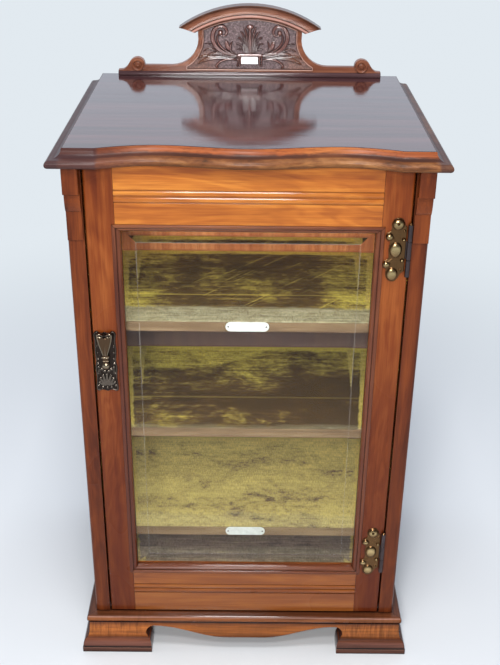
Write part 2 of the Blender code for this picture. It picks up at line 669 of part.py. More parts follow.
def carving_relief(x, z):
    """How far the carving stands out at a place; z is the height above the upstand's base."""
    reach = abs(x)
    relief = ridge(scroll_distance(reach, z), SCROLL_LINE_WIDTH, CARVING_RELIEF)
    eyes = ((EYE_X, EYE_HEIGHT, EYE_RADIUS), (BUD_X, BUD_HEIGHT, BUD_RADIUS))
    for eye_x, eye_z, radius in eyes:
        relief = max(relief, ridge(math.hypot(reach - eye_x, z - eye_z), radius, CARVING_RELIEF))
    leaf_slope = (z - LEAF_HEIGHT - (LEAF_X - reach) * LEAF_SLOPE_SHARE) / LEAF_HALF_HEIGHT
    leaf = math.hypot((reach - LEAF_X) / LEAF_HALF_LENGTH, leaf_slope)
    relief = max(relief, ridge(leaf, 1, LEAF_RELIEF))
    fan = Vector((x / SHELL_HALF_WIDTH, (z - SHELL_BASE_HEIGHT) / SHELL_TALL))
    if fan.y > 0 and fan.length < 1:
        groove = abs(math.sin(SHELL_RAYS * math.atan2(fan.y, fan.x)))
        relief = max(relief, CARVING_RELIEF * (1 - SHELL_GROOVE_SHARE * (1 - groove)) * fan.length ** 0.5)
    if reach < TABLET_HALF_WIDTH and abs(z - TABLET_CENTRE_HEIGHT) < TABLET_HEIGHT / 2:
        relief = max(relief, TABLET_RELIEF)
    return relief


def carving_rows(side_steps):
    """The panel's right border from its base up to its shoulder, as places for the carving's rows."""
    border = panel_outline(PANEL_CLEARANCE)
    corner = max(range(len(border) // 2), key=lambda index: -border[index][0])
    right = border[:corner + 1]
    lengths = [0]
    for before, after in zip(right, right[1:]):
        lengths.append(lengths[-1] + math.dist(before, after))
    rows = []
    for step in range(side_steps + 1):
        target = lengths[-1] * step / side_steps
        index = max(i for i in range(len(right) - 1) if lengths[i] <= target)
        share = (target - lengths[index]) / (lengths[index + 1] - lengths[index])
        rows.append(tuple(Vector(right[index]).lerp(Vector(right[index + 1]), share)))
    return rows


def build_carving():
    """The carved panel in low relief: a shell over a tablet, between C scrolls and leaves."""
    back = UPSTAND_FRONT_Y + PANEL_RECESS - SEAT_GAP
    base_z = TOP_Z + SEAT_GAP
    rows = carving_rows(CARVING_ROWS)
    shoulder_x, shoulder_z = rows[-1]
    crown = ARCH_RADIUS - PANEL_TOP_DROP - PANEL_CLEARANCE
    model = bmesh.new()
    grid = []
    for row, (half, level) in enumerate(rows):
        grid.append([])
        for column in range(CARVING_COLUMNS + 1):
            across = 2 * column / CARVING_COLUMNS - 1
            top_x = across * shoulder_x
            lift = ARCH_CENTRE_Z + math.sqrt(crown ** 2 - top_x ** 2) - shoulder_z
            x = across * half
            z = level + lift * row / CARVING_ROWS
            edge = column in (0, CARVING_COLUMNS) or row in (0, CARVING_ROWS)
            relief = 0 if edge else carving_relief(x, z - base_z)
            grid[-1].append(model.verts.new((x, back - CARVING_PLATE - relief, z)))
    for lower, upper in zip(grid, grid[1:]):
        for index in range(CARVING_COLUMNS):
            model.faces.new((lower[index], lower[index + 1], upper[index + 1], upper[index]))
    rim = grid[0] + [row[-1] for row in grid[1:]] + grid[-1][-2::-1] + [row[0] for row in grid[-2:0:-1]]
    rear = [model.verts.new((vert.co.x, back, vert.co.z)) for vert in rim]
    for index in range(len(rim)):
        following = (index + 1) % len(rim)
        model.faces.new((rim[index], rim[following], rear[following], rear[index]))
    model.faces.new(rear)
    bmesh.ops.recalc_face_normals(model, faces=model.faces)
    mesh = bpy.data.meshes.new("upstand_carving")
    model.to_mesh(mesh)
    model.free()
    link_mesh("upstand_carving", mesh, CARVED_WALNUT, 50)


def arch_section():
    """The arch in section, as distance below its crown and place in Y."""
    nose = BACK_Y - ARCH_DEPTH
    lip_back = UPSTAND_FRONT_Y - SEAT_GAP
    bead_height = ARCH_BAND - ARCH_FILLET - ARCH_COVE
    bead_y = lip_back - ARCH_BEAD_PROUD
    section = [(0, BACK_Y), (0, nose), (ARCH_FILLET, nose)]
    cove_depth = bead_y - nose
    section += arc((ARCH_FILLET + ARCH_COVE, nose), (ARCH_COVE, cove_depth), 180, 90, 5)[1:]
    bead_centre = (ARCH_FILLET + ARCH_COVE + bead_height / 2, bead_y + ARCH_BEAD_PROUD / 2)
    section += arc(bead_centre, (bead_height / 2, -ARCH_BEAD_PROUD / 2), 180, 0, 5)[1:]
    section += [(ARCH_BAND, lip_back), (ARCH_CROWN, lip_back), (ARCH_CROWN, BACK_Y)]
    return section


def arch_reach(drop):
    """The angle at which the sloping cut of a tip meets the arch, a distance below its crown."""
    slope = math.radians(ARCH_TIP_SLOPE)
    tip = math.asin(ARCH_HALF_WIDTH / ARCH_RADIUS)
    level = ARCH_RADIUS * math.cos(tip + slope)
    return math.acos(level / (ARCH_RADIUS - drop)) - slope


def build_arch():
    """The moulded cap, swept along its arc, its tips cut nearly level so that they taper to a point."""
    rings = []
    for step in range(ARCH_STEPS + 1):
        ring = []
        for drop, y in arch_section():
            angle = arch_reach(drop) * (1 - 2 * step / ARCH_STEPS)
            radius = ARCH_RADIUS - drop
            ring.append((radius * math.sin(angle), y, ARCH_CENTRE_Z + radius * math.cos(angle)))
        rings.append(ring)
    mesh_object("upstand_arch", rings, WALNUT, smooth=35)


def plinth_profile():
    """The plinth moulding in section, as distance out from the case and height."""
    out = PLINTH_PROJECTION
    profile = [(-PLINTH_BACKING, 0), (out, 0), (out, PLINTH_BAND)]
    out -= PLINTH_STEP
    torus_base = (out - PLINTH_TORUS_DEPTH, PLINTH_BAND)
    profile += arc(torus_base, (PLINTH_TORUS_DEPTH, PLINTH_TORUS_HEIGHT), 0, 90, 5)
    out -= PLINTH_TORUS_DEPTH
    cove_top = PLINTH_BAND + PLINTH_TORUS_HEIGHT + PLINTH_COVE_HEIGHT
    profile += arc((out, cove_top), (PLINTH_COVE_DEPTH, PLINTH_COVE_HEIGHT), 270, 180, 6)[1:]
    out -= PLINTH_COVE_DEPTH
    bead_base = cove_top + PLINTH_GROOVE_HEIGHT
    profile += [(out - PLINTH_GROOVE_DEPTH, cove_top), (out - PLINTH_GROOVE_DEPTH, bead_base)]
    head = PLINTH_HEIGHT - SEAT_GAP
    bead_half = (head - bead_base) / 2
    profile += arc((out, bead_base + bead_half), (PLINTH_BEAD_PROUD, bead_half), -90, 90, 6)
    profile.append((-PLINTH_BACKING, head))
    return profile


def apron_outline(half_span):
    """The opening between two bracket feet, as distance from its middle and height."""
    arch_x = half_span - APRON_ARCH_RUN
    arch_radii = (FOOT_WAIST + APRON_ARCH_RUN, APRON_ARCH_HEIGHT - FOOT_WAIST_HEIGHT)
    right = [(half_span, -CUT_OVERRUN), (half_span, PLINTH_BAND)]
    torus_radii = (-FOOT_WAIST / 2, PLINTH_TORUS_HEIGHT)
    right += arc((half_span + FOOT_WAIST / 2, PLINTH_BAND), torus_radii, 0, 90, 4)[1:]
    right += arc((arch_x, FOOT_WAIST_HEIGHT), arch_radii, 0, 90, 5)
    flat = half_span * APRON_FLAT_SHARE
    for step in range(1, APRON_STEPS + 1):
        share = step / APRON_STEPS
        fall = (1 - math.cos(math.pi * share)) / 2
        height = APRON_ARCH_HEIGHT + (APRON_DROP_HEIGHT - APRON_ARCH_HEIGHT) * fall
        right.append((arch_x + (flat - arch_x) * share, height))
    return right + [(-x, z) for x, z in reversed(right)]


def build_plinth():
    """The moulded plinth: a front and two sides mitred together, and a plain rail at the back."""
    profile = plinth_profile()
    front_rings = []
    for side in (-1, 1):
        ring = [(side * (BODY_HALF + out - MITRE_GAP), FRONT_Y - out, z) for out, z in profile]
        front_rings.append(ring)
    front = mesh_object("plinth_front", front_rings, WALNUT, smooth=35)
    span = BODY_HALF + PLINTH_PROJECTION - FOOT_WIDTH
    cutter = prism("front_apron_cutter", apron_outline(span), "Y",
                   FRONT_Y - PLINTH_PROJECTION - CUT_OVERRUN, FRONT_Y + PLINTH_BACKING + CUT_OVERRUN, WALNUT)
    combine(front, cutter, "DIFFERENCE")

    side_half = (BODY_DEPTH + PLINTH_PROJECTION) / 2
    side_middle = BACK_Y - side_half
    side_outline = [(side_middle + y, z) for y, z in apron_outline(side_half - SIDE_FOOT_LENGTH)]
    for label, side in SIDES.items():
        front_ring = [(side * (BODY_HALF + out), FRONT_Y - out, z) for out, z in profile]
        back_ring = [(side * (BODY_HALF + out), BACK_Y, z) for out, z in profile]
        board = mesh_object("plinth_" + label, [front_ring, back_ring], WALNUT, smooth=35)
        reach = sorted((side * (BODY_HALF - PLINTH_BACKING - CUT_OVERRUN),
                        side * (BODY_HALF + PLINTH_PROJECTION + CUT_OVERRUN)))
        cutter = prism("side_apron_cutter_" + label, side_outline, "X", reach[0], reach[1], WALNUT)
        combine(board, cutter, "DIFFERENCE")

    half = BODY_HALF - PLINTH_BACKING - SEAT_GAP
    box("plinth_back", (-half, BACK_Y - PLINTH_RAIL_THICKNESS, PLINTH_RAIL_CLEAR),
        (half, BACK_Y, PLINTH_HEIGHT - SEAT_GAP), INSIDE_WOOD)


def build_stiles():
    """The door's upright members, rounded at their outer front arris."""
    for label, side in SIDES.items():
        centre = (DOOR_HALF - DOOR_ARRIS, FRONT_Y + DOOR_ARRIS)
        outline = arc(centre, (DOOR_ARRIS, DOOR_ARRIS), -90, 0, 4)
        outline += [(DOOR_HALF, DOOR_BACK_Y), (STILE_INNER, DOOR_BACK_Y), (STILE_INNER, FRONT_Y)]
        stile = prism("door_stile_" + label, mirrored(outline, side), "Z",
                      DOOR_BASE_Z, DOOR_TOP_Z, WALNUT, smooth=40)
        if label == "left":
            combine(stile, keyhole_cutter("stile_keyhole_cutter"), "DIFFERENCE")


def keyhole_cutter(name):
    """A keyhole hidden behind the drop: a round hole with a slot below it."""
    centre = (HANDLE_X, HANDLE_Z)
    half_slot = KEYHOLE_SLOT_WIDTH / 2
    start = math.degrees(math.asin(half_slot / KEYHOLE_RADIUS))
    outline = arc(centre, (KEYHOLE_RADIUS, KEYHOLE_RADIUS), start - 90, 270 - start, 12)
    outline += [(centre[0] - half_slot, centre[1] - KEYHOLE_SLOT)]
    outline += [(centre[0] + half_slot, centre[1] - KEYHOLE_SLOT)]
    return prism(name, outline, "Y", HANDLE_FACE_Y - CUT_OVERRUN, DOOR_BACK_Y + CUT_OVERRUN, WALNUT)


def reeded_rail(name, base_z, top_z, reed_z):
    """A door rail with two reeds between quirks run along its face."""
    step = 2 * REED_RADIUS + REED_QUIRK
    sunk = FRONT_Y + REED_QUIRK
    outline = [(FRONT_Y, base_z)]
    first = reed_z - step / 2
    outline += [(FRONT_Y, first - REED_RADIUS - REED_QUIRK), (sunk, first - REED_RADIUS - REED_QUIRK)]
    for centre_z in (first, first + step):
        outline += arc((sunk, centre_z), (-REED_QUIRK - REED_PROUD, REED_RADIUS), -90, 90, 6)
    outline += [(sunk, first + step + REED_RADIUS + REED_QUIRK)]
    outline += [(FRONT_Y, first + step + REED_RADIUS + REED_QUIRK), (FRONT_Y, top_z)]
    outline += [(DOOR_BACK_Y, top_z), (DOOR_BACK_Y, base_z)]
    half = STILE_INNER - SEAT_GAP
    prism(name, outline, "X", -half, half, WALNUT, smooth=35)


def build_rails():
    """The door's two cross members."""
    bottom_reed = DOOR_BASE_Z + BOTTOM_RAIL_HEIGHT * BOTTOM_REED_SHARE
    reeded_rail("door_rail_bottom", DOOR_BASE_Z, LIGHT_BASE_Z, bottom_reed)
    top_reed = LIGHT_TOP_Z + TOP_RAIL_HEIGHT * TOP_REED_SHARE
    reeded_rail("door_rail_top", LIGHT_TOP_Z, DOOR_TOP_Z, top_reed)


def mitred_frame(prefix, profile, material):
    """Four mitred strips round the door's light; the profile holds inset from its edge and Y."""
    half_x = STILE_INNER
    half_z = LIGHT_HALF_HEIGHT
    for label, side in SIDES.items():
        rings = []
        for end in (-1, 1):
            rings.append([(side * (half_x - inset), y, LIGHT_CENTRE_Z + end * (half_z - inset))
                          for inset, y in profile])
        mesh_object(prefix + "_" + label, rings, material, smooth=35)
    for label, side in (("bottom", -1), ("top", 1)):
        rings = []
        for end in (-1, 1):
            rings.append([(end * (half_x - inset - MITRE_GAP), y, LIGHT_CENTRE_Z + side * (half_z - inset))
                          for inset, y in profile])
        mesh_object(prefix + "_" + label, rings, material, smooth=35)


def build_glazing():
    """The moulding in front of the glass, the bevelled glass and the beads that hold it."""
    face = FRONT_Y + MOULDING_SETBACK
    back = FRONT_Y + MOULDING_DEPTH
    round_depth = MOULDING_DEPTH - MOULDING_SETBACK - MOULDING_LIP
    base = FRONT_Y - SEAT_GAP
    bead_centre = (MOULDING_BEAD / 2 - MOULDING_OVERLAP, base)
    quirk_x = MOULDING_BEAD - MOULDING_OVERLAP
    quirk_y = FRONT_Y + MOULDING_QUIRK_DEPTH
    round_x = quirk_x + MOULDING_QUIRK
    moulding = [(SEAT_GAP, back), (SEAT_GAP, base)]
    moulding += arc(bead_centre, (MOULDING_BEAD / 2, MOULDING_BEAD_PROUD), 180, 360, 6)
    moulding += [(quirk_x, quirk_y), (round_x, quirk_y), (round_x, face)]
    moulding += arc((round_x, back - MOULDING_LIP), (MOULDING_WIDTH - round_x, round_depth), 270, 360, 5)[1:]
    moulding.append((MOULDING_WIDTH, back))
    mitred_frame("door_moulding", moulding, WALNUT)

    bead_front = GLASS_FRONT_Y + GLASS_THICKNESS + SEAT_GAP
    slope = GLAZING_BEAD_WIDTH / 2
    bead = [(SEAT_GAP, bead_front), (GLAZING_BEAD_WIDTH, bead_front)]
    bead += [(GLAZING_BEAD_WIDTH - slope, DOOR_BACK_Y), (SEAT_GAP, DOOR_BACK_Y)]
    mitred_frame("glazing_bead", bead, INSIDE_WOOD)

    half_x = STILE_INNER - GLASS_CLEARANCE
    half_z = LIGHT_HALF_HEIGHT - GLASS_CLEARANCE
    back_y = GLASS_FRONT_Y + GLASS_THICKNESS
    rings = []
    for inset, y in ((0, back_y), (0, back_y - GLASS_EDGE), (GLASS_BEVEL, GLASS_FRONT_Y)):
        x = half_x - inset
        low = LIGHT_CENTRE_Z - half_z + inset
        high = LIGHT_CENTRE_Z + half_z - inset
        rings.append([(-x, y, low), (x, y, low), (x, y, high), (-x, y, high)])
    mesh_object("door_glass", rings, GLASS)


def relief_plate(name, outline, back_y, face_y, rim, material):
    """A thin plate in front view, its front arris taken off by a rim."""
    centre = sum((Vector(point) for point in outline), Vector((0, 0))) / len(outline)
    rings = [[(x, back_y, z) for x, z in outline], [(x, face_y + rim, z) for x, z in outline]]
    drawn_in = []
    for x, z in outline:
        away = Vector((x, z)) - centre
        point = centre + away * (1 - rim / max(away.length, rim))
        drawn_in.append((point.x, face_y, point.y))
    rings.append(drawn_in)
    return mesh_object(name, rings, material, smooth=40)


def hinge_outline(base_z):
    """The lobed outline of a door hinge plate, straight where it meets the knuckle."""
    edge_x = HINGE_X - KNUCKLE_RADIUS - PLATE_CLEARANCE
    points = []
    for reach, rise in HINGE_OUTLINE_SHARES:
        points.append((edge_x - reach * HINGE_PLATE_WIDTH, base_z + rise * HINGE_HEIGHT))
    return spline(points, 3)


def build_hinge(label, base_z):
    """One hinge: the plate on the door, the leaf on the case and the pin between them."""
    low, mid_low, mid_high, high = (base_z + share * HINGE_HEIGHT for share in KNUCKLE_SHARES)
    centre = (HINGE_X, HINGE_Y)
    back_y = FRONT_Y - SEAT_GAP
    face_y = back_y - HINGE_PLATE_THICKNESS
    plate = relief_plate("hinge_plate_" + label, hinge_outline(base_z), back_y, face_y,
                         HINGE_PLATE_RIM, BRASS)
    edge_x = HINGE_X - KNUCKLE_RADIUS - PLATE_CLEARANCE
    web = box("hinge_web_" + label, (edge_x - KNUCKLE_RADIUS, HINGE_Y + KNUCKLE_BORE + WELD, mid_low),
              (HINGE_X, back_y - WELD / 2, mid_high), BRASS)
    barrel = tube("hinge_barrel_" + label, centre, KNUCKLE_RADIUS, KNUCKLE_BORE,
                  mid_low - WELD / 3, mid_high + WELD / 3, BRASS)
    combine(plate, web, "UNION")
    combine(plate, barrel, "UNION")
    for index, (reach, rise, size) in enumerate(HINGE_BOSS_SHARES):
        radius = size * HINGE_PLATE_WIDTH
        boss_y = face_y + HINGE_PLATE_THICKNESS / 2 - BOSS_RELIEF
        boss = dome("hinge_boss_" + label + "_" + str(index),
                    (edge_x - reach * HINGE_PLATE_WIDTH, boss_y, base_z + rise * HINGE_HEIGHT),
                    (radius, BOSS_RELIEF, radius), BRASS)
        combine(plate, boss, "UNION")

    leaf_x = OPENING_HALF - SEAT_GAP
    leaf = box("hinge_leaf_" + label, (leaf_x - LEAF_THICKNESS, HINGE_Y, low),
               (leaf_x, FRONT_Y + LEAF_DEPTH, high), STEEL)
    for part, start, end in (("foot", low, mid_low - 2 * SEAT_GAP), ("head", mid_high + 2 * SEAT_GAP, high)):
        knuckle = tube("hinge_knuckle_" + part + "_" + label, centre, KNUCKLE_RADIUS, KNUCKLE_BORE,
                       start - WELD / 2, end, STEEL)
        combine(leaf, knuckle, "UNION")
    slot = box("hinge_leaf_slot_" + label, (leaf_x - LEAF_THICKNESS - CUT_OVERRUN, HINGE_Y - CUT_OVERRUN,
                                            mid_low - 2 * SEAT_GAP),
               (leaf_x + CUT_OVERRUN, FRONT_Y - SEAT_GAP, mid_high + 2 * SEAT_GAP), STEEL)
    combine(leaf, slot, "DIFFERENCE")

    pin_radius = KNUCKLE_BORE - PIN_CLEARANCE
    pin_rings = []
    for radius, height in ((pin_radius, low), (pin_radius, high + SEAT_GAP),
                           (PIN_HEAD_RADIUS, high + SEAT_GAP), (PIN_HEAD_RADIUS / 2, high + PIN_HEAD_HEIGHT)):
        ring = arc(centre, (radius, radius), 0, 360, KNUCKLE_SIDES)[:-1]
        pin_rings.append([(x, y, height) for x, y in ring])
    mesh_object("hinge_pin_" + label, pin_rings, BRASS, smooth=40)


def handle_outline():
    """The backplate's outline: a tall oblong with waved ends and a slight waist."""
    foot_z = HANDLE_Z - HANDLE_HEIGHT / 2
    points = []
    for reach, rise in HANDLE_OUTLINE_SHARES:
        points.append((reach * HANDLE_WIDTH / 2, foot_z + rise * HANDLE_HEIGHT))
    right = spline(points, 3)
    left = [(-x, z) for x, z in reversed(right)]
    return [(HANDLE_X + x, z) for x, z in right + left[1:-1]]


def build_handle():
    """The embossed backplate with its lug, and the drop whose forked head hangs on a pin through it."""
    back_y = FRONT_Y - SEAT_GAP
    plate = relief_plate("handle_plate", handle_outline(), back_y, HANDLE_FACE_Y, HANDLE_RIM, OLD_BRASS)
    combine(plate, keyhole_cutter("plate_keyhole_cutter"), "DIFFERENCE")
    root_y = HANDLE_FACE_Y + HANDLE_THICKNESS / 2
    outline = arc((DROP_PIVOT_Y, DROP_PIVOT_Z), (LUG_RADIUS, LUG_RADIUS), 90, 270, 8)
    outline += [(root_y, DROP_PIVOT_Z - LUG_RADIUS), (root_y, DROP_PIVOT_Z + LUG_RADIUS)]
    lug = prism("handle_lug", outline, "X", HANDLE_X - LUG_WIDTH / 2, HANDLE_X + LUG_WIDTH / 2, OLD_BRASS)
    combine(plate, lug, "UNION")
    stud_y = root_y - STUD_RELIEF
    foot_z = HANDLE_Z - HANDLE_HEIGHT / 2
    for label, side in SIDES.items():
        stud_x = HANDLE_X + side * (HANDLE_WIDTH / 2 - STUD_RADIUS - HANDLE_RIM)
        stud = dome("handle_stud_" + label, (stud_x, stud_y, foot_z + STUD_RISE),
                    (STUD_RADIUS, STUD_RELIEF, STUD_RADIUS), OLD_BRASS, 10)
        combine(plate, stud, "UNION")
    leaf = dome("handle_leaf_boss", (HANDLE_X, stud_y, foot_z + LEAF_BOSS_RISE),
                (LEAF_BOSS_RADIUS, STUD_RELIEF, LEAF_BOSS_HEIGHT / 2), OLD_BRASS, 10)
    combine(plate, leaf, "UNION")

    pin_hole = rod("lug_hole_cutter", "X", (DROP_PIVOT_Y, DROP_PIVOT_Z),
                   DROP_PIN_RADIUS + DROP_PIN_CLEARANCE, HANDLE_X - HANDLE_WIDTH / 2,
                   HANDLE_X + HANDLE_WIDTH / 2, OLD_BRASS, 12)
    combine(plate, pin_hole, "DIFFERENCE")
    rod("handle_pin", "X", (DROP_PIVOT_Y, DROP_PIVOT_Z), DROP_PIN_RADIUS,
        HANDLE_X - DROP_PIN_REACH, HANDLE_X + DROP_PIN_REACH, OLD_BRASS, 12)
    build_drop(pin_hole)


def build_drop(pin_hole):
    """The tapering drop with its forked head, collar and end boss, bored for the pin."""
    right = []
    for reach, fall in DROP_OUTLINE_SHARES:
        right.append((reach * DROP_HALF_WIDTH, -fall * DROP_LENGTH))
    half = spline(right, 3)
    outline = half + [(-x, z) for x, z in reversed(half[1:-1])]
    placed = [(HANDLE_X + x, DROP_PIVOT_Z + z) for x, z in outline]
    back_y = DROP_PIVOT_Y + DROP_THICKNESS / 2
    drop = relief_plate("drop_handle", placed, back_y, back_y - DROP_THICKNESS, DROP_ROUNDING, OLD_BRASS)
    boss = dome("drop_boss", (HANDLE_X, DROP_PIVOT_Y, DROP_PIVOT_Z - DROP_LENGTH),
                (DROP_BOSS_RADIUS, DROP_THICKNESS / 2 + DROP_ROUNDING, DROP_BOSS_RADIUS), OLD_BRASS)
    combine(drop, boss, "UNION")
    fork = LUG_WIDTH / 2 + LUG_CLEARANCE
    fork_base = DROP_PIVOT_Z - LUG_RADIUS - FORK_DEPTH
    slot = box("drop_fork_cutter", (HANDLE_X - fork, back_y - DROP_THICKNESS - CUT_OVERRUN, fork_base),
               (HANDLE_X + fork, back_y + CUT_OVERRUN, DROP_PIVOT_Z + DROP_LENGTH), OLD_BRASS)
    combine(drop, slot, "DIFFERENCE")
    combine(drop, pin_hole, "DIFFERENCE")


def build_lock():
    """A cupboard lock on the back of the left stile, with the bolt drawn in."""
    edge_x = -DOOR_HALF + LOCK_INSET
    front_y = DOOR_BACK_Y + SEAT_GAP
    case = box("lock_case", (edge_x, front_y, HANDLE_Z - LOCK_HEIGHT / 2),
               (edge_x + LOCK_WIDTH, front_y + LOCK_DEPTH, HANDLE_Z + LOCK_HEIGHT / 2), BRASS)
    bolt_y = front_y + (LOCK_DEPTH - BOLT_THICKNESS) / 2
    half_channel = BOLT_HEIGHT / 2 + BOLT_CLEARANCE
    channel = box("lock_channel_cutter",
                  (edge_x - CUT_OVERRUN, bolt_y - BOLT_CLEARANCE, HANDLE_Z - half_channel),
                  (edge_x + BOLT_LENGTH + BOLT_CLEARANCE, bolt_y + BOLT_THICKNESS + BOLT_CLEARANCE,
                   HANDLE_Z + half_channel), BRASS)
    combine(case, channel, "DIFFERENCE")
    box("lock_bolt", (edge_x, bolt_y, HANDLE_Z - BOLT_HEIGHT / 2),
        (edge_x + BOLT_LENGTH, bolt_y + BOLT_THICKNESS, HANDLE_Z + BOLT_HEIGHT / 2), BRASS)


def main():
    for old in list(bpy.data.objects):
        bpy.data.objects.remove(old, do_unlink=True)
    build_carcass()
    build_pilasters()
    build_shelves()
    build_top()
    build_upstand()
    build_plinth()
    build_stiles()
    build_rails()
    build_glazing()
    for label, base_z in HINGE_BASES.items():
        build_hinge(label, base_z)
    build_handle()
    build_lock()


main()
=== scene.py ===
import math

import bmesh
import bpy
import numpy as np
from mathutils import Matrix, Vector, noise
from mathutils.geometry import delaunay_2d_cdt


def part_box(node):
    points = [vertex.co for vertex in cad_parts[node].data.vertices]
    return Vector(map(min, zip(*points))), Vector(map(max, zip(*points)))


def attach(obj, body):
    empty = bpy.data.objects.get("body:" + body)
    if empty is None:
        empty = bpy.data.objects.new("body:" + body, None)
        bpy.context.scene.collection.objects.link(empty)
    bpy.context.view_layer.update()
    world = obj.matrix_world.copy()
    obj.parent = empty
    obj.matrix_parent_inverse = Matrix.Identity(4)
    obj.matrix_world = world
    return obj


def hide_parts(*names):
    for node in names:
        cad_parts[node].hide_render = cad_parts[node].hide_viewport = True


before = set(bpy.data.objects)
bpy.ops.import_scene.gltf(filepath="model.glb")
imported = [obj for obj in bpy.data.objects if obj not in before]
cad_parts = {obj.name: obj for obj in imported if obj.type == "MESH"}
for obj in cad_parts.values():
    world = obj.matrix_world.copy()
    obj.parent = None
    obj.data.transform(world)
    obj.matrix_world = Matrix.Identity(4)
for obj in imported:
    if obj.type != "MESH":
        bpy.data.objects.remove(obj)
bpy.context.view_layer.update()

MM = 0.001

# The camera of the photograph, found from its perspective
FOCAL_SHARE = 1015 / 665
CAMERA_PLACE = (-0.0021, -1.5489, 1.3277)
CAMERA_PITCH = math.radians(27.33)
CAMERA_YAW = math.radians(0.26)
CAMERA_ROLL = math.radians(0.67)
SENSOR = 36.0

# The room's strength in front of the cabinet and behind it, its colours, and where the floor fades
WORLD_LEVELS = (0.16, 0.95)
WORLD_COLOUR = (0.84, 0.92, 1.04)
BACKDROP = (0.76, 0.82, 0.87)
FLOOR_COLOUR = (0.76, 0.775, 0.79)
FLOOR_FADE = (0.55, 1.9)
FLOOR_REACH = 30.0

# Levels and places that the looks and shapes refer to
TOP_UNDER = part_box("top_board")[0].z
TOP_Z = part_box("top_board")[1].z
TOP_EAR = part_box("top_board")[1].x - 0.069
PLINTH_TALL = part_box("plinth_front")[1].z
MIDDLE_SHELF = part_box("shelf_middle")[1].z
UPPER_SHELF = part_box("shelf_upper")[0].z
SHELF_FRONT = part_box("shelf_upper")[0].y
ARCH_RADIUS = (0.12 ** 2 + 0.0374 ** 2) / (2 * 0.0374)
ARCH_CENTRE = TOP_Z + 0.1204 - ARCH_RADIUS
BACK_FACE = 0.1945
SEAT_GAP = 0.0003
ORIGIN = (0.0, 0.0, 0.0)


def sum_of(operation, turned=False):
    """A Python sign that adds a maths node to a graph."""
    if turned:
        return lambda wire, other: wire.graph.maths(operation, other, wire)
    return lambda wire, other=0.0: wire.graph.maths(operation, wire, other)


class Wire:
    """A value inside a material, so that the sums on it read like sums."""

    __add__ = sum_of("ADD")
    __sub__ = sum_of("SUBTRACT")
    __rsub__ = sum_of("SUBTRACT", turned=True)
    __mul__ = sum_of("MULTIPLY")
    __truediv__ = sum_of("DIVIDE")
    __pow__ = sum_of("POWER")
    __abs__ = sum_of("ABSOLUTE")

    def __init__(self, graph, socket):
        self.graph = graph
        self.socket = socket


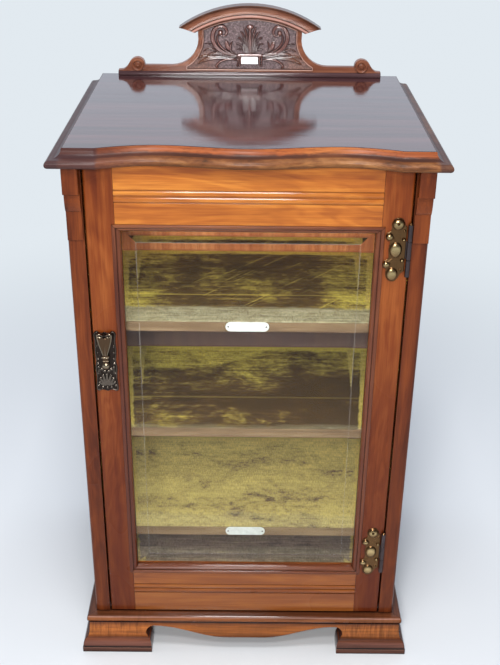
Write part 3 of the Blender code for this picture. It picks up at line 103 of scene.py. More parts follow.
class Graph:
    """The nodes of a material or of the world, made by short calls."""

    def __init__(self, owner, shader="Principled BSDF", output="Material Output"):
        owner.use_nodes = True
        self.owner = owner
        self.nodes = owner.node_tree.nodes
        self.shader = self.nodes[shader]
        self.output = self.nodes[output]

    def feed(self, socket, value):
        """Links a value, or writes a number or colour on the socket."""
        if isinstance(value, Wire):
            self.owner.node_tree.links.new(value.socket, socket)
        elif isinstance(value, tuple) and len(value) < len(socket.default_value):
            socket.default_value = (*value, 1.0)
        else:
            socket.default_value = value

    def node(self, kind, inputs, output=0, **settings):
        """Adds a node, feeds its inputs and gives one of its outputs."""
        node = self.nodes.new("ShaderNode" + kind)
        for key, value in settings.items():
            setattr(node, key, value)
        for key, value in inputs.items():
            self.feed(node.inputs[key], value)
        return Wire(self, node.outputs[output])

    def axis(self, name, kind="TexCoord", output="Object"):
        return self.node("SeparateXYZ", {0: self.node(kind, {}, output)}, name)

    def relief(self):
        return self.node("Attribute", {}, "Fac", attribute_name="relief")

    def noise(self, scale, shift=ORIGIN, detail=4.0, rough=0.55, distortion=0.0, turn=ORIGIN):
        """Noise between 0 and 1, with its scale on each axis, in the object's own space."""
        kind = "TEXTURE" if any(turn) else "POINT"
        if any(turn):
            scale = tuple(1.0 / share for share in scale)
        place = {"Vector": self.node("TexCoord", {}, "Object"), "Scale": scale, "Location": shift,
                 "Rotation": [math.radians(angle) for angle in turn]}
        inputs = {"Vector": self.node("Mapping", place, vector_type=kind), "Scale": 1.0, "Detail": detail,
                  "Roughness": rough, "Distortion": distortion}
        return self.node("TexNoise", inputs, "Fac")

    def ramp(self, value, *stops):
        """A colour or tone for a value, between stops of position and colour."""
        wire = self.node("ValToRGB", {"Fac": value}, "Color")
        elements = wire.socket.node.color_ramp.elements
        while len(elements) < len(stops):
            elements.new(0.5)
        for element, (position, colour) in zip(elements, stops):
            element.position = position
            element.color = (*(colour if isinstance(colour, tuple) else 3 * (colour,)), 1.0)
        return wire

    def mix(self, factor, first, second, blend="MIX"):
        return self.node("Mix", {0: factor, 6: first, 7: second}, 2, data_type="RGBA", blend_type=blend)

    def shade(self, colour, tones, factor=1.0):
        return self.mix(factor, colour, tones, "MULTIPLY")

    def maths(self, operation, *values):
        return self.node("Math", dict(enumerate(values)), operation=operation)

    def larger(self, first, second):
        return self.maths("MAXIMUM", first, second)

    def stray(self, value, blots, amount):
        """A value that wanders up and down with a noise."""
        return self.maths("MULTIPLY_ADD", blots - 0.5, amount, value)

    def fit(self, value, low, high, to_low=0.0, to_high=1.0):
        inputs = dict(enumerate((value, low, high, to_low, to_high)))
        return self.node("MapRange", inputs, interpolation_type="SMOOTHSTEP")

    def fall(self, value, low, high):
        return self.fit(value, low, high, 1.0, 0.0)

    def bump(self, height, depth, strength, worn=False):
        """The normal on an uneven face, its edges worn round where asked."""
        inputs = {"Height": height, "Distance": depth, "Strength": strength}
        if worn:
            inputs["Normal"] = self.node("Bevel", {"Radius": 0.0009}, samples=4)
        return self.node("Bump", inputs)

    def crevice(self, reach, low=0.35, high=0.95):
        """Hollows and corners from ambient occlusion, 1 there and 0 on open faces: painted shade on wood,
        tarnish on metal.
        """
        return 1.0 - self.fit(self.node("AmbientOcclusion", {"Distance": reach}, "AO", samples=6), low, high)

    def surface(self, **values):
        """Feeds the shader's inputs by their own names, in small letters."""
        sockets = {socket.name.lower().replace(" ", "_"): socket for socket in self.shader.inputs}
        for key, value in values.items():
            self.feed(sockets[key], value)
        return self.owner

    def blend_shader(self, factor, other, colour):
        """Mixes the shader with another kind of shader of one colour, by a factor."""
        second = self.node(other, {"Color": colour})
        mixed = self.node("MixShader", {0: factor, 1: Wire(self, self.shader.outputs[0]), 2: second})
        self.feed(self.output.inputs["Surface"], mixed)
        return self.owner


def new_graph(name):
    return Graph(bpy.data.materials.new(name))


def grain_scale(along, across, length):
    return tuple(length if name == along else across for name in "XYZ")


# The arch's painted shade and highlights, dark in its cove and quirks and light on its bead, as distance
# below its top edge in mm and share of its colour
ARCH_BAND = 0.026
ARCH_SHADE_AND_HIGHLIGHT = ((0, 0.3), (1.5, 0.34), (2.4, 0.4), (5.5, 0.72), (10, 0.98), (14.6, 0.8), (15.2, 0.14),
              (16, 0.2), (17, 1.2), (19, 1.75), (20.5, 1.35), (22, 0.6), (22.7, 0.15), (24.5, 0.45))
ARCH_GLINT = (0.52, 0.34, 0.31)

# The carved panel's colours: its punched ground, painted shade on the flanks, a painted highlight on the
# crests, warm leaves, and a painted highlight on the tablet
GROUND = ((0.38, (0.022, 0.009, 0.01)), (0.47, (0.085, 0.046, 0.05)), (0.54, (0.15, 0.095, 0.103)),
          (0.62, (0.33, 0.23, 0.23)))
FLANK_SHADE = (0.022, 0.008, 0.008)
CREST_HIGHLIGHT = (0.44, 0.28, 0.25)
WARM_LEAF = (0.26, 0.095, 0.036)
TABLET_HIGHLIGHT = (0.58, 0.53, 0.53)

# Painted shade in corners, the pores of the top, the pores of the plinth, and the outside of the back
CREVICE_SHADE = (0.012, 0.005, 0.004)
TOP_PORES = (0.02, 0.008, 0.006)
PLINTH_PORES = (0.03, 0.01, 0.006)
BACK_OUTSIDE = (0.14, 0.062, 0.03)


def arch_painted_light(g, colour):
    """Painted shade in the arch's cove and quirks and a painted highlight on its bead follow its radius."""
    rise = g.axis("Z") - ARCH_CENTRE
    drop = ARCH_RADIUS - g.maths("SQRT", g.axis("X") ** 2.0 + rise ** 2.0)
    tones = [(mm * MM / ARCH_BAND, tone) for mm, tone in ARCH_SHADE_AND_HIGHLIGHT]
    colour = g.shade(colour, g.ramp(drop / ARCH_BAND, *tones))
    # Painted highlight along the bead
    bead = g.fit(drop, 0.0165, 0.018) * g.fit(drop, 0.02, 0.0215, 0.55, 0.0)
    return g.mix(bead, colour, ARCH_GLINT)


def carved_tones(g, colour):
    """The carving: pale punched ground, painted shade on the flanks, a painted highlight on the crests, warm
    outer leaves and a painted highlight on the tablet.
    """
    level = g.relief()
    low = g.fall(level, 0.08, 0.42)
    specks = g.noise((330, 330, 330), ORIGIN, 5.0, 0.78)
    colour = g.mix(low * 0.85, colour, g.ramp(specks, *GROUND))
    # Painted shade on the relief's flanks
    flank_shade = g.fit(level, 0.1, 0.34) * g.fall(level, 0.5, 0.72)
    colour = g.mix(flank_shade * 0.75, colour, FLANK_SHADE)
    # Painted highlight on the crests
    colour = g.mix(g.fit(level, 0.76, 0.96, 0.0, 0.45), colour, CREST_HIGHLIGHT)
    reach = abs(g.axis("X"))
    height = g.axis("Z") - TOP_Z
    leaves = g.fit(reach, 0.046, 0.08) * g.fall(height, 0.03, 0.058)
    warm = g.larger(leaves, g.fit(level, 0.8, 0.95) * g.fit(reach, 0.03, 0.045))
    colour = g.mix(warm * g.ramp(specks, (0.4, 0.15), (0.6, 0.6)), colour, WARM_LEAF)
    # Painted highlight on the tablet
    tablet = g.fall(reach, 0.0142, 0.0148) * g.fall(height, 0.0335, 0.0345) * g.fit(level, 0.7, 0.8)
    return g.mix(tablet * 0.75, colour, TABLET_HIGHLIGHT), low


def wood(name, along, tones, rough, coat, seed, figure, grime=0.6, fade=None, outdoors=False, arched=False,
         relief=False):
    """French polished wood: streaks and fibres along one axis, a flame figure, painted shade in corners, and
    where asked painted shade towards the bottom.
    """
    g = new_graph(name)
    dark, middle, light = tones
    shift = (seed, seed * 0.7, seed * 1.3)
    streaks = g.noise(grain_scale(along, 52, 1.9), shift, 7.0, 0.64, 0.5)
    bands = g.noise(grain_scale(along, 11, 2.2), shift, 3.0, 0.5, 2.2)
    fibres = g.noise(grain_scale(along, 620, 17), shift, 3.0, 0.6)
    stain = g.noise((3.1, 3.1, 3.1), shift, 3.0, 0.5)
    flame = g.maths("SINE", bands * 34.0) * (0.11 * figure)
    value = g.stray(streaks + flame, stain, 0.35)
    colour = g.ramp(value, (0.3, dark), (0.5, middle), (0.7, light))
    colour = g.mix(g.ramp(fibres, (0.36, 0.35), (0.5, 0.0)), colour, dark)
    # Painted shade: darker towards the bottom, except on the back's outside face
    if fade:
        low, high, share, tint = fade
        shade_share = g.fit(g.axis("Z"), low, high, 1.0 - share, 0.0)
        if outdoors:
            outside = g.fit(g.axis("Y"), BACK_FACE, BACK_FACE + 0.002)
            shade_share = shade_share * (1.0 - outside)
            colour = g.mix(outside * 0.75, colour, BACK_OUTSIDE)
        colour = g.mix(shade_share, colour, tint)
    if arched:
        colour = arch_painted_light(g, colour)
    # Painted shade in corners and hollows
    colour = g.mix(g.crevice(0.006) * grime, colour, tuple(channel * 0.32 for channel in dark))
    finish = stain * 0.16 + (rough - 0.08)
    if relief:
        colour, low = carved_tones(g, colour)
        finish = low * 0.35 + finish
    ripple = g.bump(fibres * 0.4 + streaks * 0.6, 0.00025, 0.4, worn=True)
    return g.surface(base_color=colour, roughness=finish, coat_weight=coat, coat_roughness=0.09,
                     specular_ior_level=0.8 if relief else 0.12, normal=ripple)


# How the plinth's colour goes from the floor up, as height in mm and colour: its own tones, painted
# highlight lines on the lower band's edge and on the bead, and painted shade in the quirks
PLINTH_TONES_AND_LIGHT = (
    (0.0, (0.02, 0.008, 0.006)), (1.6, (0.07, 0.022, 0.012)), (8.2, (0.095, 0.032, 0.017)),
    (9.0, (0.2, 0.095, 0.065)), (9.8, (0.2, 0.095, 0.065)), (10.2, (0.01, 0.004, 0.003)),
    (12.0, (0.02, 0.008, 0.006)), (14.0, (0.12, 0.042, 0.026)), (19.5, (0.165, 0.06, 0.04)),
    (25.4, (0.14, 0.045, 0.022)), (27.0, (0.085, 0.025, 0.01)), (29.0, (0.12, 0.034, 0.01)),
    (33.0, (0.26, 0.076, 0.014)), (46.0, (0.31, 0.092, 0.016)), (55.0, (0.23, 0.062, 0.012)),
    (57.4, (0.1, 0.028, 0.009)), (58.4, (0.03, 0.01, 0.006)), (60.4, (0.024, 0.008, 0.005)),
    (61.6, (0.16, 0.045, 0.012)), (67.0, (0.24, 0.072, 0.017)), (70.2, (0.23, 0.072, 0.022)),
    (71.0, (0.36, 0.175, 0.12)), (72.2, (0.36, 0.175, 0.12)), (73.0, (0.12, 0.036, 0.013)),
)
PLINTH_SHADE = (0.03, 0.012, 0.014)


def plinth_wood(name, along, share, seed):
    """The plinth's wood: each of its mouldings has its own tone, with painted highlight lines, painted shade
    in the quirks and painted shade on faces that turn sideways.
    """
    g = new_graph(name)
    shift = (seed, seed * 0.7, seed * 1.3)
    streaks = g.noise(grain_scale(along, 60, 3.0), shift, 7.0, 0.64, 0.5)
    bars = g.noise(grain_scale(along, 16, 120), shift, 5.0, 0.66, 1.2)
    fibres = g.noise(grain_scale(along, 620, 17), shift, 3.0, 0.6)
    wander = g.noise((30, 30, 30), shift, 2.0, 0.5)
    height = g.stray(g.axis("Z"), wander, 0.0012)
    levels = [(mm * MM / PLINTH_TALL, colour) for mm, colour in PLINTH_TONES_AND_LIGHT]
    tone = g.ramp(height / PLINTH_TALL, *levels)
    tone = g.shade(tone, g.ramp(streaks, (0.32, 0.5), (0.5, 1.0), (0.68, 1.55)))
    figured = g.fit(abs(g.axis("X")), 0.155, 0.185, 0.08, 0.6) * g.fit(height, 0.024, 0.034)
    figured = figured * g.fit(height, 0.054, 0.062, 1.0, 0.25)
    tone = g.shade(tone, g.ramp(bars, (0.38, 0.4), (0.5, 1.0), (0.62, 1.45)), figured)
    tone = g.mix(g.ramp(fibres, (0.36, 0.3), (0.5, 0.0)), tone, PLINTH_PORES)
    # Painted shade in corners
    tone = g.mix(g.crevice(0.006), tone, CREVICE_SHADE)
    sideways = g.fit(abs(g.axis("X", "NewGeometry", "Normal")), 0.55, 0.85)
    tone = g.mix(sideways * 0.8, tone, PLINTH_SHADE)
    tone = g.mix(1.0 - share, tone, PLINTH_SHADE)
    ripple = g.bump(fibres + streaks, 0.00025, 0.4, worn=True)
    return g.surface(base_color=tone, roughness=wander * 0.16 + 0.16, coat_weight=0.3, coat_roughness=0.09,
                     specular_ior_level=0.12, normal=ripple)


# The top's colours: its flat, the upper cove, painted shade on the lower cove, and the nosing
TOP_FLAT = ((0.3, (0.026, 0.008, 0.009)), (0.52, (0.06, 0.019, 0.021)), (0.72, (0.11, 0.038, 0.038)))
COVE_UPPER = ((0.3, (0.15, 0.034, 0.014)), (0.52, (0.33, 0.088, 0.026)), (0.72, (0.46, 0.16, 0.045)))
COVE_SHADE = ((0.3, (0.03, 0.01, 0.006)), (0.55, (0.075, 0.024, 0.012)), (0.75, (0.17, 0.055, 0.02)))
NOSING = ((0.34, (0.055, 0.022, 0.01)), (0.47, (0.165, 0.058, 0.02)), (0.62, (0.3, 0.13, 0.046)))


def top_wood(name, polish):
    """The top: a dark polished flat, a cove with painted shade on its lower part and a stained golden
    nosing, with painted shade on its underside, the ends, the left and the left ear.
    """
    g = new_graph(name)
    streaks = g.noise((1.6, 40, 40), ORIGIN, 7.0, 0.62, 0.5)
    waves = g.noise((5, 34, 34), (1.0, 2.0, 0.0), 5.0, 0.62, 0.3)
    fibres = g.noise((18, 640, 640), ORIGIN, 3.0, 0.6)
    patches = g.noise((5, 9, 30), (3.0, 1.0, 0.0), 4.0, 0.6, 0.8)
    stains = g.noise((42, 42, 160), (8.0, 1.0, 0.0), 4.0, 0.65, 0.4)
    height = g.axis("Z") - TOP_UNDER
    # Masks for painted shade on the ends, on the left and on the left ear
    side = g.fit(abs(g.axis("X")), 0.256, 0.262)
    left = g.fall(g.axis("X"), -0.215, -0.1)
    corner = g.fall(g.axis("X"), -TOP_EAR - 0.002, -TOP_EAR + 0.004)
    # The cove, its lower part in painted shade, darker still on the left and the left ear
    cove = g.mix(g.fit(g.stray(height, stains, 0.006), 0.0148, 0.0186), g.ramp(patches, *COVE_SHADE),
                 g.ramp(patches, *COVE_UPPER))
    cove = g.mix(left * 0.65, cove, (0.06, 0.018, 0.013))
    cove = g.mix(corner * 0.7, cove, (0.04, 0.018, 0.02))
    nosing = g.ramp(g.mix(0.5, patches, stains), *NOSING)
    # Painted shade on the nosing's lower curve, on the left and on the left ear
    nosing = g.mix(g.fit(height, 0.002, 0.0065, 0.55, 0.0), nosing, (0.11, 0.04, 0.012))
    nosing = g.mix(left * 0.8, nosing, (0.13, 0.045, 0.03))
    nosing = g.mix(corner * 0.7, nosing, (0.055, 0.027, 0.028))
    colour = g.mix(g.fit(height, 0.012, 0.013), nosing, cove)
    # Painted shade on the ends
    colour = g.mix(side * 0.7, colour, (0.045, 0.022, 0.024))
    colour = g.mix(g.fit(height, 0.0236, 0.0243), colour, g.ramp(streaks, *TOP_FLAT))
    colour = g.mix(g.ramp(fibres, (0.36, 0.3), (0.5, 0.0)), colour, TOP_PORES)
    # Painted shade in corners
    colour = g.mix(g.crevice(0.004) * 0.7, colour, CREVICE_SHADE)
    finish = waves * 0.13 + (0.02 if polish else 0.27)
    ripple = g.bump(waves + fibres * 0.1, 0.0006, 0.5)
    if polish:
        g.surface(coat_weight=0.5, coat_roughness=0.1)
    return g.surface(base_color=colour, roughness=finish, specular_ior_level=0.75 if polish else 0.16,
                     normal=ripple)


# The pale threads that show along a shelf's front edge, and the pile that nobody rubbed
THREADS = ((0.36, (0.19, 0.15, 0.085)), (0.5, (0.36, 0.315, 0.19)), (0.62, (0.5, 0.455, 0.31)))
UNWORN = (0.66, 0.5, 0.14)


def velvet(name, seed, wear_level, drift, pale_depth, pale_share, tones, scratched=0.0, levels=(1.0, 1.0),
           streaky=0.42, laid=True):
    """Old velvet: gold where its pile stands, brown where it is rubbed, with pale threads in front."""
    g = new_graph(name)
    dark, olive, gold = tones
    shift = (seed, seed * 1.7, 0.0)
    broad = g.noise((8.0, 14.0, 14.0), shift, 7.0, 0.66, 0.6)
    strips = g.noise((9.0, 210.0, 210.0), shift, 6.0, 0.72, 0.2)
    blots = g.noise((58.0, 84.0, 84.0), shift, 8.0, 0.78, 0.4)
    lines = g.noise((16.0, 430.0, 430.0), shift, 3.0, 0.6)
    warp = g.noise((700.0, 90.0, 90.0), ORIGIN, 2.0, 0.6)
    weave = g.noise((1500.0, 1500.0, 1500.0), ORIGIN, 2.0, 0.6)
    across, depth = g.axis("X"), g.axis("Y")
    side = abs(across)
    ends, sideways, backwards = drift
    wear = g.stray(g.stray(broad, strips, streaky), blots, 0.85)
    wear = wear + g.fit(side, 0.085, 0.185, 0.0, ends) + across * sideways
    wear = wear + g.fit(depth, 0.02, 0.17, 0.0, backwards) + g.fit(depth, 0.172, 0.186, 0.0, 0.4)
    colour = g.ramp(wear, (wear_level - 0.16, dark), (wear_level - 0.02, tuple(c * 1.5 for c in dark)),
                    (wear_level + 0.11, olive), (wear_level + 0.32, gold))
    scratches = g.noise((6.0, 230.0, 6.0), shift, 2.0, 0.5, turn=(0.0, 0.0, 48.0))
    scratches = g.fit(scratches, 0.655, 0.7) * g.fit(broad, 0.4, 0.55)
    colour = g.mix(scratches * scratched, colour, gold)
    crease = g.fall(abs(depth - (SHELF_FRONT + 0.1)), 0.001, 0.003)
    crease = crease * g.ramp(strips, (0.35, 0.15), (0.6, 0.75))
    colour = g.mix(crease * pale_share, colour, gold)
    if laid:
        margin = depth * -0.042 + g.stray(side, blots, 0.012)
        unworn = g.mix(g.ramp(blots, (0.35, 0.0), (0.65, 1.0)), tuple(c * 0.8 for c in gold), UNWORN)
        strip = g.fit(margin, 0.1855, 0.1885) * g.fit(margin, 0.201, 0.205, 0.9, 0.0)
        colour = g.mix(strip, colour, unworn)
        # Painted shade at the shelf's ends beside the side walls
        colour = g.mix(g.fit(margin, 0.201, 0.205), colour, dark)
    else:
        height = g.axis("Z")
        # Painted shade on the side walls between the middle and upper shelves
        between_shade = (g.fit(height, MIDDLE_SHELF - 0.004, MIDDLE_SHELF + 0.004)
                   * g.fall(height, UPPER_SHELF - 0.004, UPPER_SHELF + 0.004))
        colour = g.mix(between_shade * 0.6, colour, dark)
    edge = g.stray(g.stray(depth, blots, 0.026), broad, 0.05)
    pale_end = SHELF_FRONT + pale_depth
    front = g.fall(edge, pale_end - 0.008, pale_end + 0.006)
    colour = g.mix(front * pale_share, colour, g.ramp(g.mix(0.6, strips, blots), *THREADS))
    # Painted light: darker towards the front and lighter towards the back, by each shelf's levels
    colour = g.shade(colour, g.fit(depth, SHELF_FRONT + 0.02, 0.17, *levels))
    colour = g.shade(colour, g.ramp(lines, (0.36, 0.45), (0.52, 1.0), (0.66, 1.6)), streaky)
    colour = g.shade(colour, g.ramp(warp, (0.35, 0.35), (0.6, 1.2)), 0.4)
    colour = g.shade(colour, g.ramp(weave, (0.3, 0.35), (0.7, 1.0)), 0.25)
    return g.surface(base_color=colour, roughness=0.92, sheen_weight=0.12, sheen_roughness=0.35,
                     sheen_tint=(0.9, 0.72, 0.3), specular_ior_level=0.05,
                     normal=g.bump(weave + strips * 0.6, 0.0006, 0.5))


def glass(name, rough, clear):
    """Bevelled plate glass that lets the lamps through."""
    g = new_graph(name)
    g.surface(base_color=(0.985, 0.99, 0.98), roughness=rough, transmission_weight=clear, ior=1.5,
              specular_ior_level=0.1, specular_tint=(0.2, 0.2, 0.21))
    shadow = g.node("LightPath", {}, "Is Shadow Ray")
    return g.blend_shader(shadow, "BsdfTransparent", (0.93, 0.955, 0.945))


def metal(name, bright, tarnish_and_shade, rough, spots, reach=0.003, raised=0.0, crown=0.55, foot=0.06):
    """Cast metal: bright where hands and cloth reach it, tarnished in its hollows, and where the relief
    asks, painted shade on faces that turn downwards.
    """
    g = new_graph(name)
    cloud = g.noise((60, 60, 60), ORIGIN, 5.0, 0.65, 0.3)
    fine = g.noise((900, 900, 900), ORIGIN, 2.0, 0.6)
    dark = g.larger(g.crevice(reach, 0.3, 0.98), g.ramp(cloud, (0.42, 0.0), (0.68, 1.0)) * spots)
    if raised:
        dark = g.larger(dark, g.fall(g.relief(), foot, crown) * raised)
        # Painted shade on faces that turn downwards
        dark = g.larger(dark, g.fit(g.axis("Z", "NewGeometry", "Normal"), -0.3, 0.3, 0.8, 0.0))
    finish = dark * 0.14 + (cloud * 0.25 + (rough - 0.1))
    return g.surface(base_color=g.mix(dark, bright, tarnish_and_shade), metallic=1.0, roughness=finish,
                     normal=g.bump(fine, 0.00006, 0.4))


def enamel(name):
    g = new_graph(name)
    cloud = g.noise((90, 90, 90), ORIGIN, 4.0, 0.6)
    colour = g.ramp(cloud, (0.3, (0.5, 0.52, 0.49)), (0.7, (0.64, 0.66, 0.64)))
    return g.surface(base_color=colour, roughness=0.35, coat_weight=0.15,
                     normal=g.bump(cloud, 0.0001, 0.2))


ORANGE = ((0.25, 0.058, 0.008), (0.46, 0.135, 0.017), (0.66, 0.24, 0.035))
RED = ((0.115, 0.02, 0.005), (0.21, 0.046, 0.009), (0.31, 0.085, 0.018))
MOULDING = ((0.07, 0.016, 0.007), (0.135, 0.037, 0.014), (0.22, 0.07, 0.026))
DARK = ((0.064, 0.013, 0.005), (0.14, 0.03, 0.008), (0.22, 0.052, 0.012))
SIDE = ((0.046, 0.01, 0.006), (0.098, 0.022, 0.01), (0.155, 0.038, 0.014))
UPSTAND = ((0.13, 0.04, 0.022), (0.24, 0.086, 0.046), (0.36, 0.145, 0.078))
# The arch's wood is a lighter copy of the upstand's, for painted light
ARCH_LIT = ((0.17, 0.054, 0.032), (0.31, 0.115, 0.066), (0.45, 0.19, 0.11))
# A pale bead along the sunk panel's edge: a painted highlight
ARRIS_HIGHLIGHT = ((0.3, 0.15, 0.11), (0.44, 0.25, 0.2), (0.58, 0.36, 0.3))
FOOT = ((0.05, 0.024, 0.026), (0.085, 0.043, 0.045), (0.13, 0.066, 0.064))
CARVED = ((0.095, 0.036, 0.03), (0.165, 0.072, 0.062), (0.26, 0.125, 0.11))
BACK = ((0.38, 0.102, 0.035), (0.62, 0.215, 0.075), (0.81, 0.36, 0.14))
EDGE = ((0.095, 0.056, 0.03), (0.165, 0.105, 0.056), (0.24, 0.165, 0.09))
# Painted shade: darker towards the bottom on the door, and a painted shadow on the back below the shelves
STILE_SHADE = {"fade": (0.1, 0.86, 0.42, (0.08, 0.012, 0.004))}
RAIL_SHADE = {"fade": (0.12, 0.8, 0.42, (0.17, 0.048, 0.014))}
BACK_SHADE_AND_OUTSIDE = {"fade": (0.47, 0.56, 0.12, (0.085, 0.078, 0.085)), "outdoors": True}

# Each wood: the axis of its grain, palette, roughness, coat, seed, figure and what else it has
WOODS = {
    "rail_wood": ("X", ORANGE, 0.3, 0.5, 1.0, 0.45, RAIL_SHADE),
    "stile_wood": ("Z", RED, 0.27, 0.15, 4.0, 0.5, STILE_SHADE),
    "moulding_x": ("X", MOULDING, 0.24, 0.4, 7.0, 0.3, {}),
    "moulding_z": ("Z", MOULDING, 0.24, 0.4, 8.0, 0.3, STILE_SHADE),
    "pilaster_wood": ("Z", DARK, 0.3, 0.12, 11.0, 0.4, {}),
    "side_wood": ("Z", SIDE, 0.32, 0.14, 13.0, 0.5, {}),
    "upstand_wood": ("X", UPSTAND, 0.3, 0.1, 23.0, 0.5, {}),
    "arch_wood": ("X", ARCH_LIT, 0.28, 0.22, 24.0, 0.5, {"arched": True}),
    "arris_wood": ("X", ARRIS_HIGHLIGHT, 0.24, 0.4, 25.0, 0.3, {"grime": 0.15}),
    "foot_wood": ("X", FOOT, 0.14, 0.3, 27.0, 0.3, {}),
    "carved_wood": ("X", CARVED, 0.15, 0.0, 29.0, 0.2, {"grime": 0.95, "relief": True}),
    "back_wood": ("Z", BACK, 0.55, 0.0, 31.0, 0.4, BACK_SHADE_AND_OUTSIDE),
    "inner_x": ("X", EDGE, 0.6, 0.0, 37.0, 0.3, {}),
    "inner_y": ("Y", EDGE, 0.6, 0.0, 41.0, 0.3, {}),
}
MATERIALS = {name: wood(name, *row[:-1], **row[-1]) for name, row in WOODS.items()}
MATERIALS["plinth_x"] = plinth_wood("plinth_x", "X", 1.0, 17.0)
MATERIALS["plinth_y"] = plinth_wood("plinth_y", "Y", 0.8, 19.0)
MATERIALS["top_board_polish"] = top_wood("top_board_polish", True)
MATERIALS["top_board_edge"] = top_wood("top_board_edge", False)

# Each metal: its bright colour, its colour for tarnish and painted shade, roughness, spots, and how the
# tarnish follows the relief
METALS = {
    "polished_brass": ((0.62, 0.47, 0.23), (0.125, 0.062, 0.026), 0.14, 0.3, 0.006, 0.97, 1.1, 0.45),
    "dark_bronze": ((0.22, 0.18, 0.145), (0.026, 0.018, 0.015), 0.18, 0.3, 0.004, 0.95, 0.8),
    "worn_bronze": ((0.34, 0.28, 0.2), (0.09, 0.05, 0.027), 0.16, 0.3, 0.003, 0.95, 0.7),
    "grey_steel": ((0.085, 0.066, 0.07), (0.04, 0.03, 0.027), 0.3, 0.5),
}
MATERIALS.update({name: metal(name, *row) for name, row in METALS.items()})
MATERIALS["plate_glass"] = glass("plate_glass", 0.0, 1.0)
MATERIALS["glass_arris"] = glass("glass_arris", 0.25, 0.85)
MATERIALS["label_enamel"] = enamel("label_enamel")

# Each velvet: seed, wear, how the wear drifts, depth and share of the pale front, colours and the rest
OLD_GOLD = ((0.066, 0.034, 0.01), (0.275, 0.195, 0.04), (0.7, 0.55, 0.095))
PALE_GOLD = ((0.1, 0.06, 0.04), (0.42, 0.32, 0.105), (0.6, 0.47, 0.15))
GREY_GOLD = ((0.16, 0.11, 0.085), (0.24, 0.175, 0.12), (0.38, 0.28, 0.14))
RICH_GOLD = ((0.03, 0.022, 0.018), (0.58, 0.44, 0.1), (0.82, 0.66, 0.16))
VELVETS = {
    "velvet_upper": (2.3, 0.54, (0.2, -0.1, 0.0), 0.052, 0.95, OLD_GOLD, {"scratched": 0.6}),
    "velvet_middle": (5.1, 0.6, (0.0, -0.36, 0.3), 0.01, 0.4, OLD_GOLD, {"levels": (0.78, 0.95)}),
    "velvet_lower": (8.2, 0.33, (0.0, 0.0, 0.06), 0.04, 0.3, PALE_GOLD,
                     {"levels": (0.72, 1.45), "streaky": 0.14}),
    "velvet_floor": (9.9, 0.55, ORIGIN, 0.06, 0.3, GREY_GOLD, {}),
    "velvet_side": (12.4, 0.34, (0.0, 0.0, 0.12), 0.0, 0.0, RICH_GOLD, {"laid": False}),
}
MATERIALS.update({name: velvet(name, *row[:-1], **row[-1]) for name, row in VELVETS.items()})

# How the names of the CAD nodes start that are made of each material; the rest is plain inside wood
LOOKS = {
    "side_wood": "side_panel", "pilaster_wood": "pilaster corbel", "plinth_x": "plinth_front",
    "plinth_y": "plinth_left plinth_right", "back_wood": "back_panel", "upstand_wood": "upstand_board",
    "arch_wood": "upstand_arch", "carved_wood": "upstand_carving", "inner_y": "shelf_bearer",
    "stile_wood": "door_stile glazing_bead_left glazing_bead_right",
    "rail_wood": "door_rail glazing_bead_top glazing_bead_bottom",
    "moulding_x": "door_moulding_top door_moulding_bottom", "plate_glass": "door_glass",
    "moulding_z": "door_moulding_left door_moulding_right", "top_board_polish": "top_board",
    "grey_steel": "hinge_leaf", "polished_brass": "hinge_pin hinge_plate lock", "label_enamel": "label",
    "dark_bronze": "handle drop_handle", "velvet_upper": "shelf_lining_upper",
    "velvet_middle": "shelf_lining_middle", "velvet_lower": "shelf_lining_lower",
    "velvet_floor": "floor_lining", "velvet_side": "side_lining",
}


def paint(obj, material):
    obj.data.materials.clear()
    obj.data.materials.append(material)


for node_name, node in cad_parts.items():
    looks = [look for look, starts in LOOKS.items() if node_name.startswith(tuple(starts.split()))]
    paint(node, MATERIALS[looks[0] if looks else "inner_x"])


def catmull(rows, steps=12):
    """A smooth line through rows of numbers."""
    rows = np.array(rows, dtype=float)
    padded = np.vstack([2 * rows[0] - rows[1], rows, 2 * rows[-1] - rows[-2]])
    line = []
    for start in range(len(rows) - 1):
        a, b, c, d = padded[start:start + 4]
        for step in range(steps):
            t = step / steps
            line.append(0.5 * (2 * b + (c - a) * t + (2 * a - 5 * b + 4 * c - d) * t ** 2
                               + (3 * b - a - 3 * c + d) * t ** 3))
    line.append(rows[-1])
    return np.array(line)


def stroke(points, rows, groove=0.0, sharp=0.5):
    """How high a carved stroke stands at each point. Rows hold x, z, half width and height in mm."""
    line = catmull(rows) * MM
    reach = np.hypot(points[:, None, 0] - line[None, :, 0], points[:, None, 1] - line[None, :, 1])
    share = reach / np.maximum(line[None, :, 2], 0.0001)
    nearest = share.argmin(axis=1)
    near = np.minimum(share[np.arange(len(points)), nearest], 1.0)
    height = line[nearest, 3] * (1 - near ** 2) ** sharp
    return height * (1 - groove * np.exp(-(near / 0.3) ** 2))


def boss(points, x, z, half_width, half_height, height, sharp=0.5):
    """How high an oval dome stands at each point, its place and size in mm."""
    share = np.hypot((points[:, 0] / MM - x) / half_width, (points[:, 1] / MM - z) / half_height)
    return height * MM * (1 - np.minimum(share, 1.0) ** 2) ** sharp


def resample(outline, step):
    """The same closed outline with corners kept and points a step apart."""
    points = []
    for start, end in zip(outline, outline[1:] + outline[:1]):
        start, end = np.array(start), np.array(end)
        count = max(1, round(float(np.linalg.norm(end - start)) / step))
        points += [start + (end - start) * index / count for index in range(count)]
    return np.array(points)


def inside_of(points, ring):
    """Which points lie inside a ring."""
    inside = np.zeros(len(points), dtype=bool)
    for (x0, z0), (x1, z1) in zip(ring, np.roll(ring, -1, axis=0)):
        crosses = (z0 > points[:, 1]) != (z1 > points[:, 1])
        if crosses.any():
            reach = x0 + (points[:, 1] - z0) / (z1 - z0 if z1 != z0 else 1.0) * (x1 - x0)
            inside ^= crosses & (points[:, 0] < reach)
    return inside


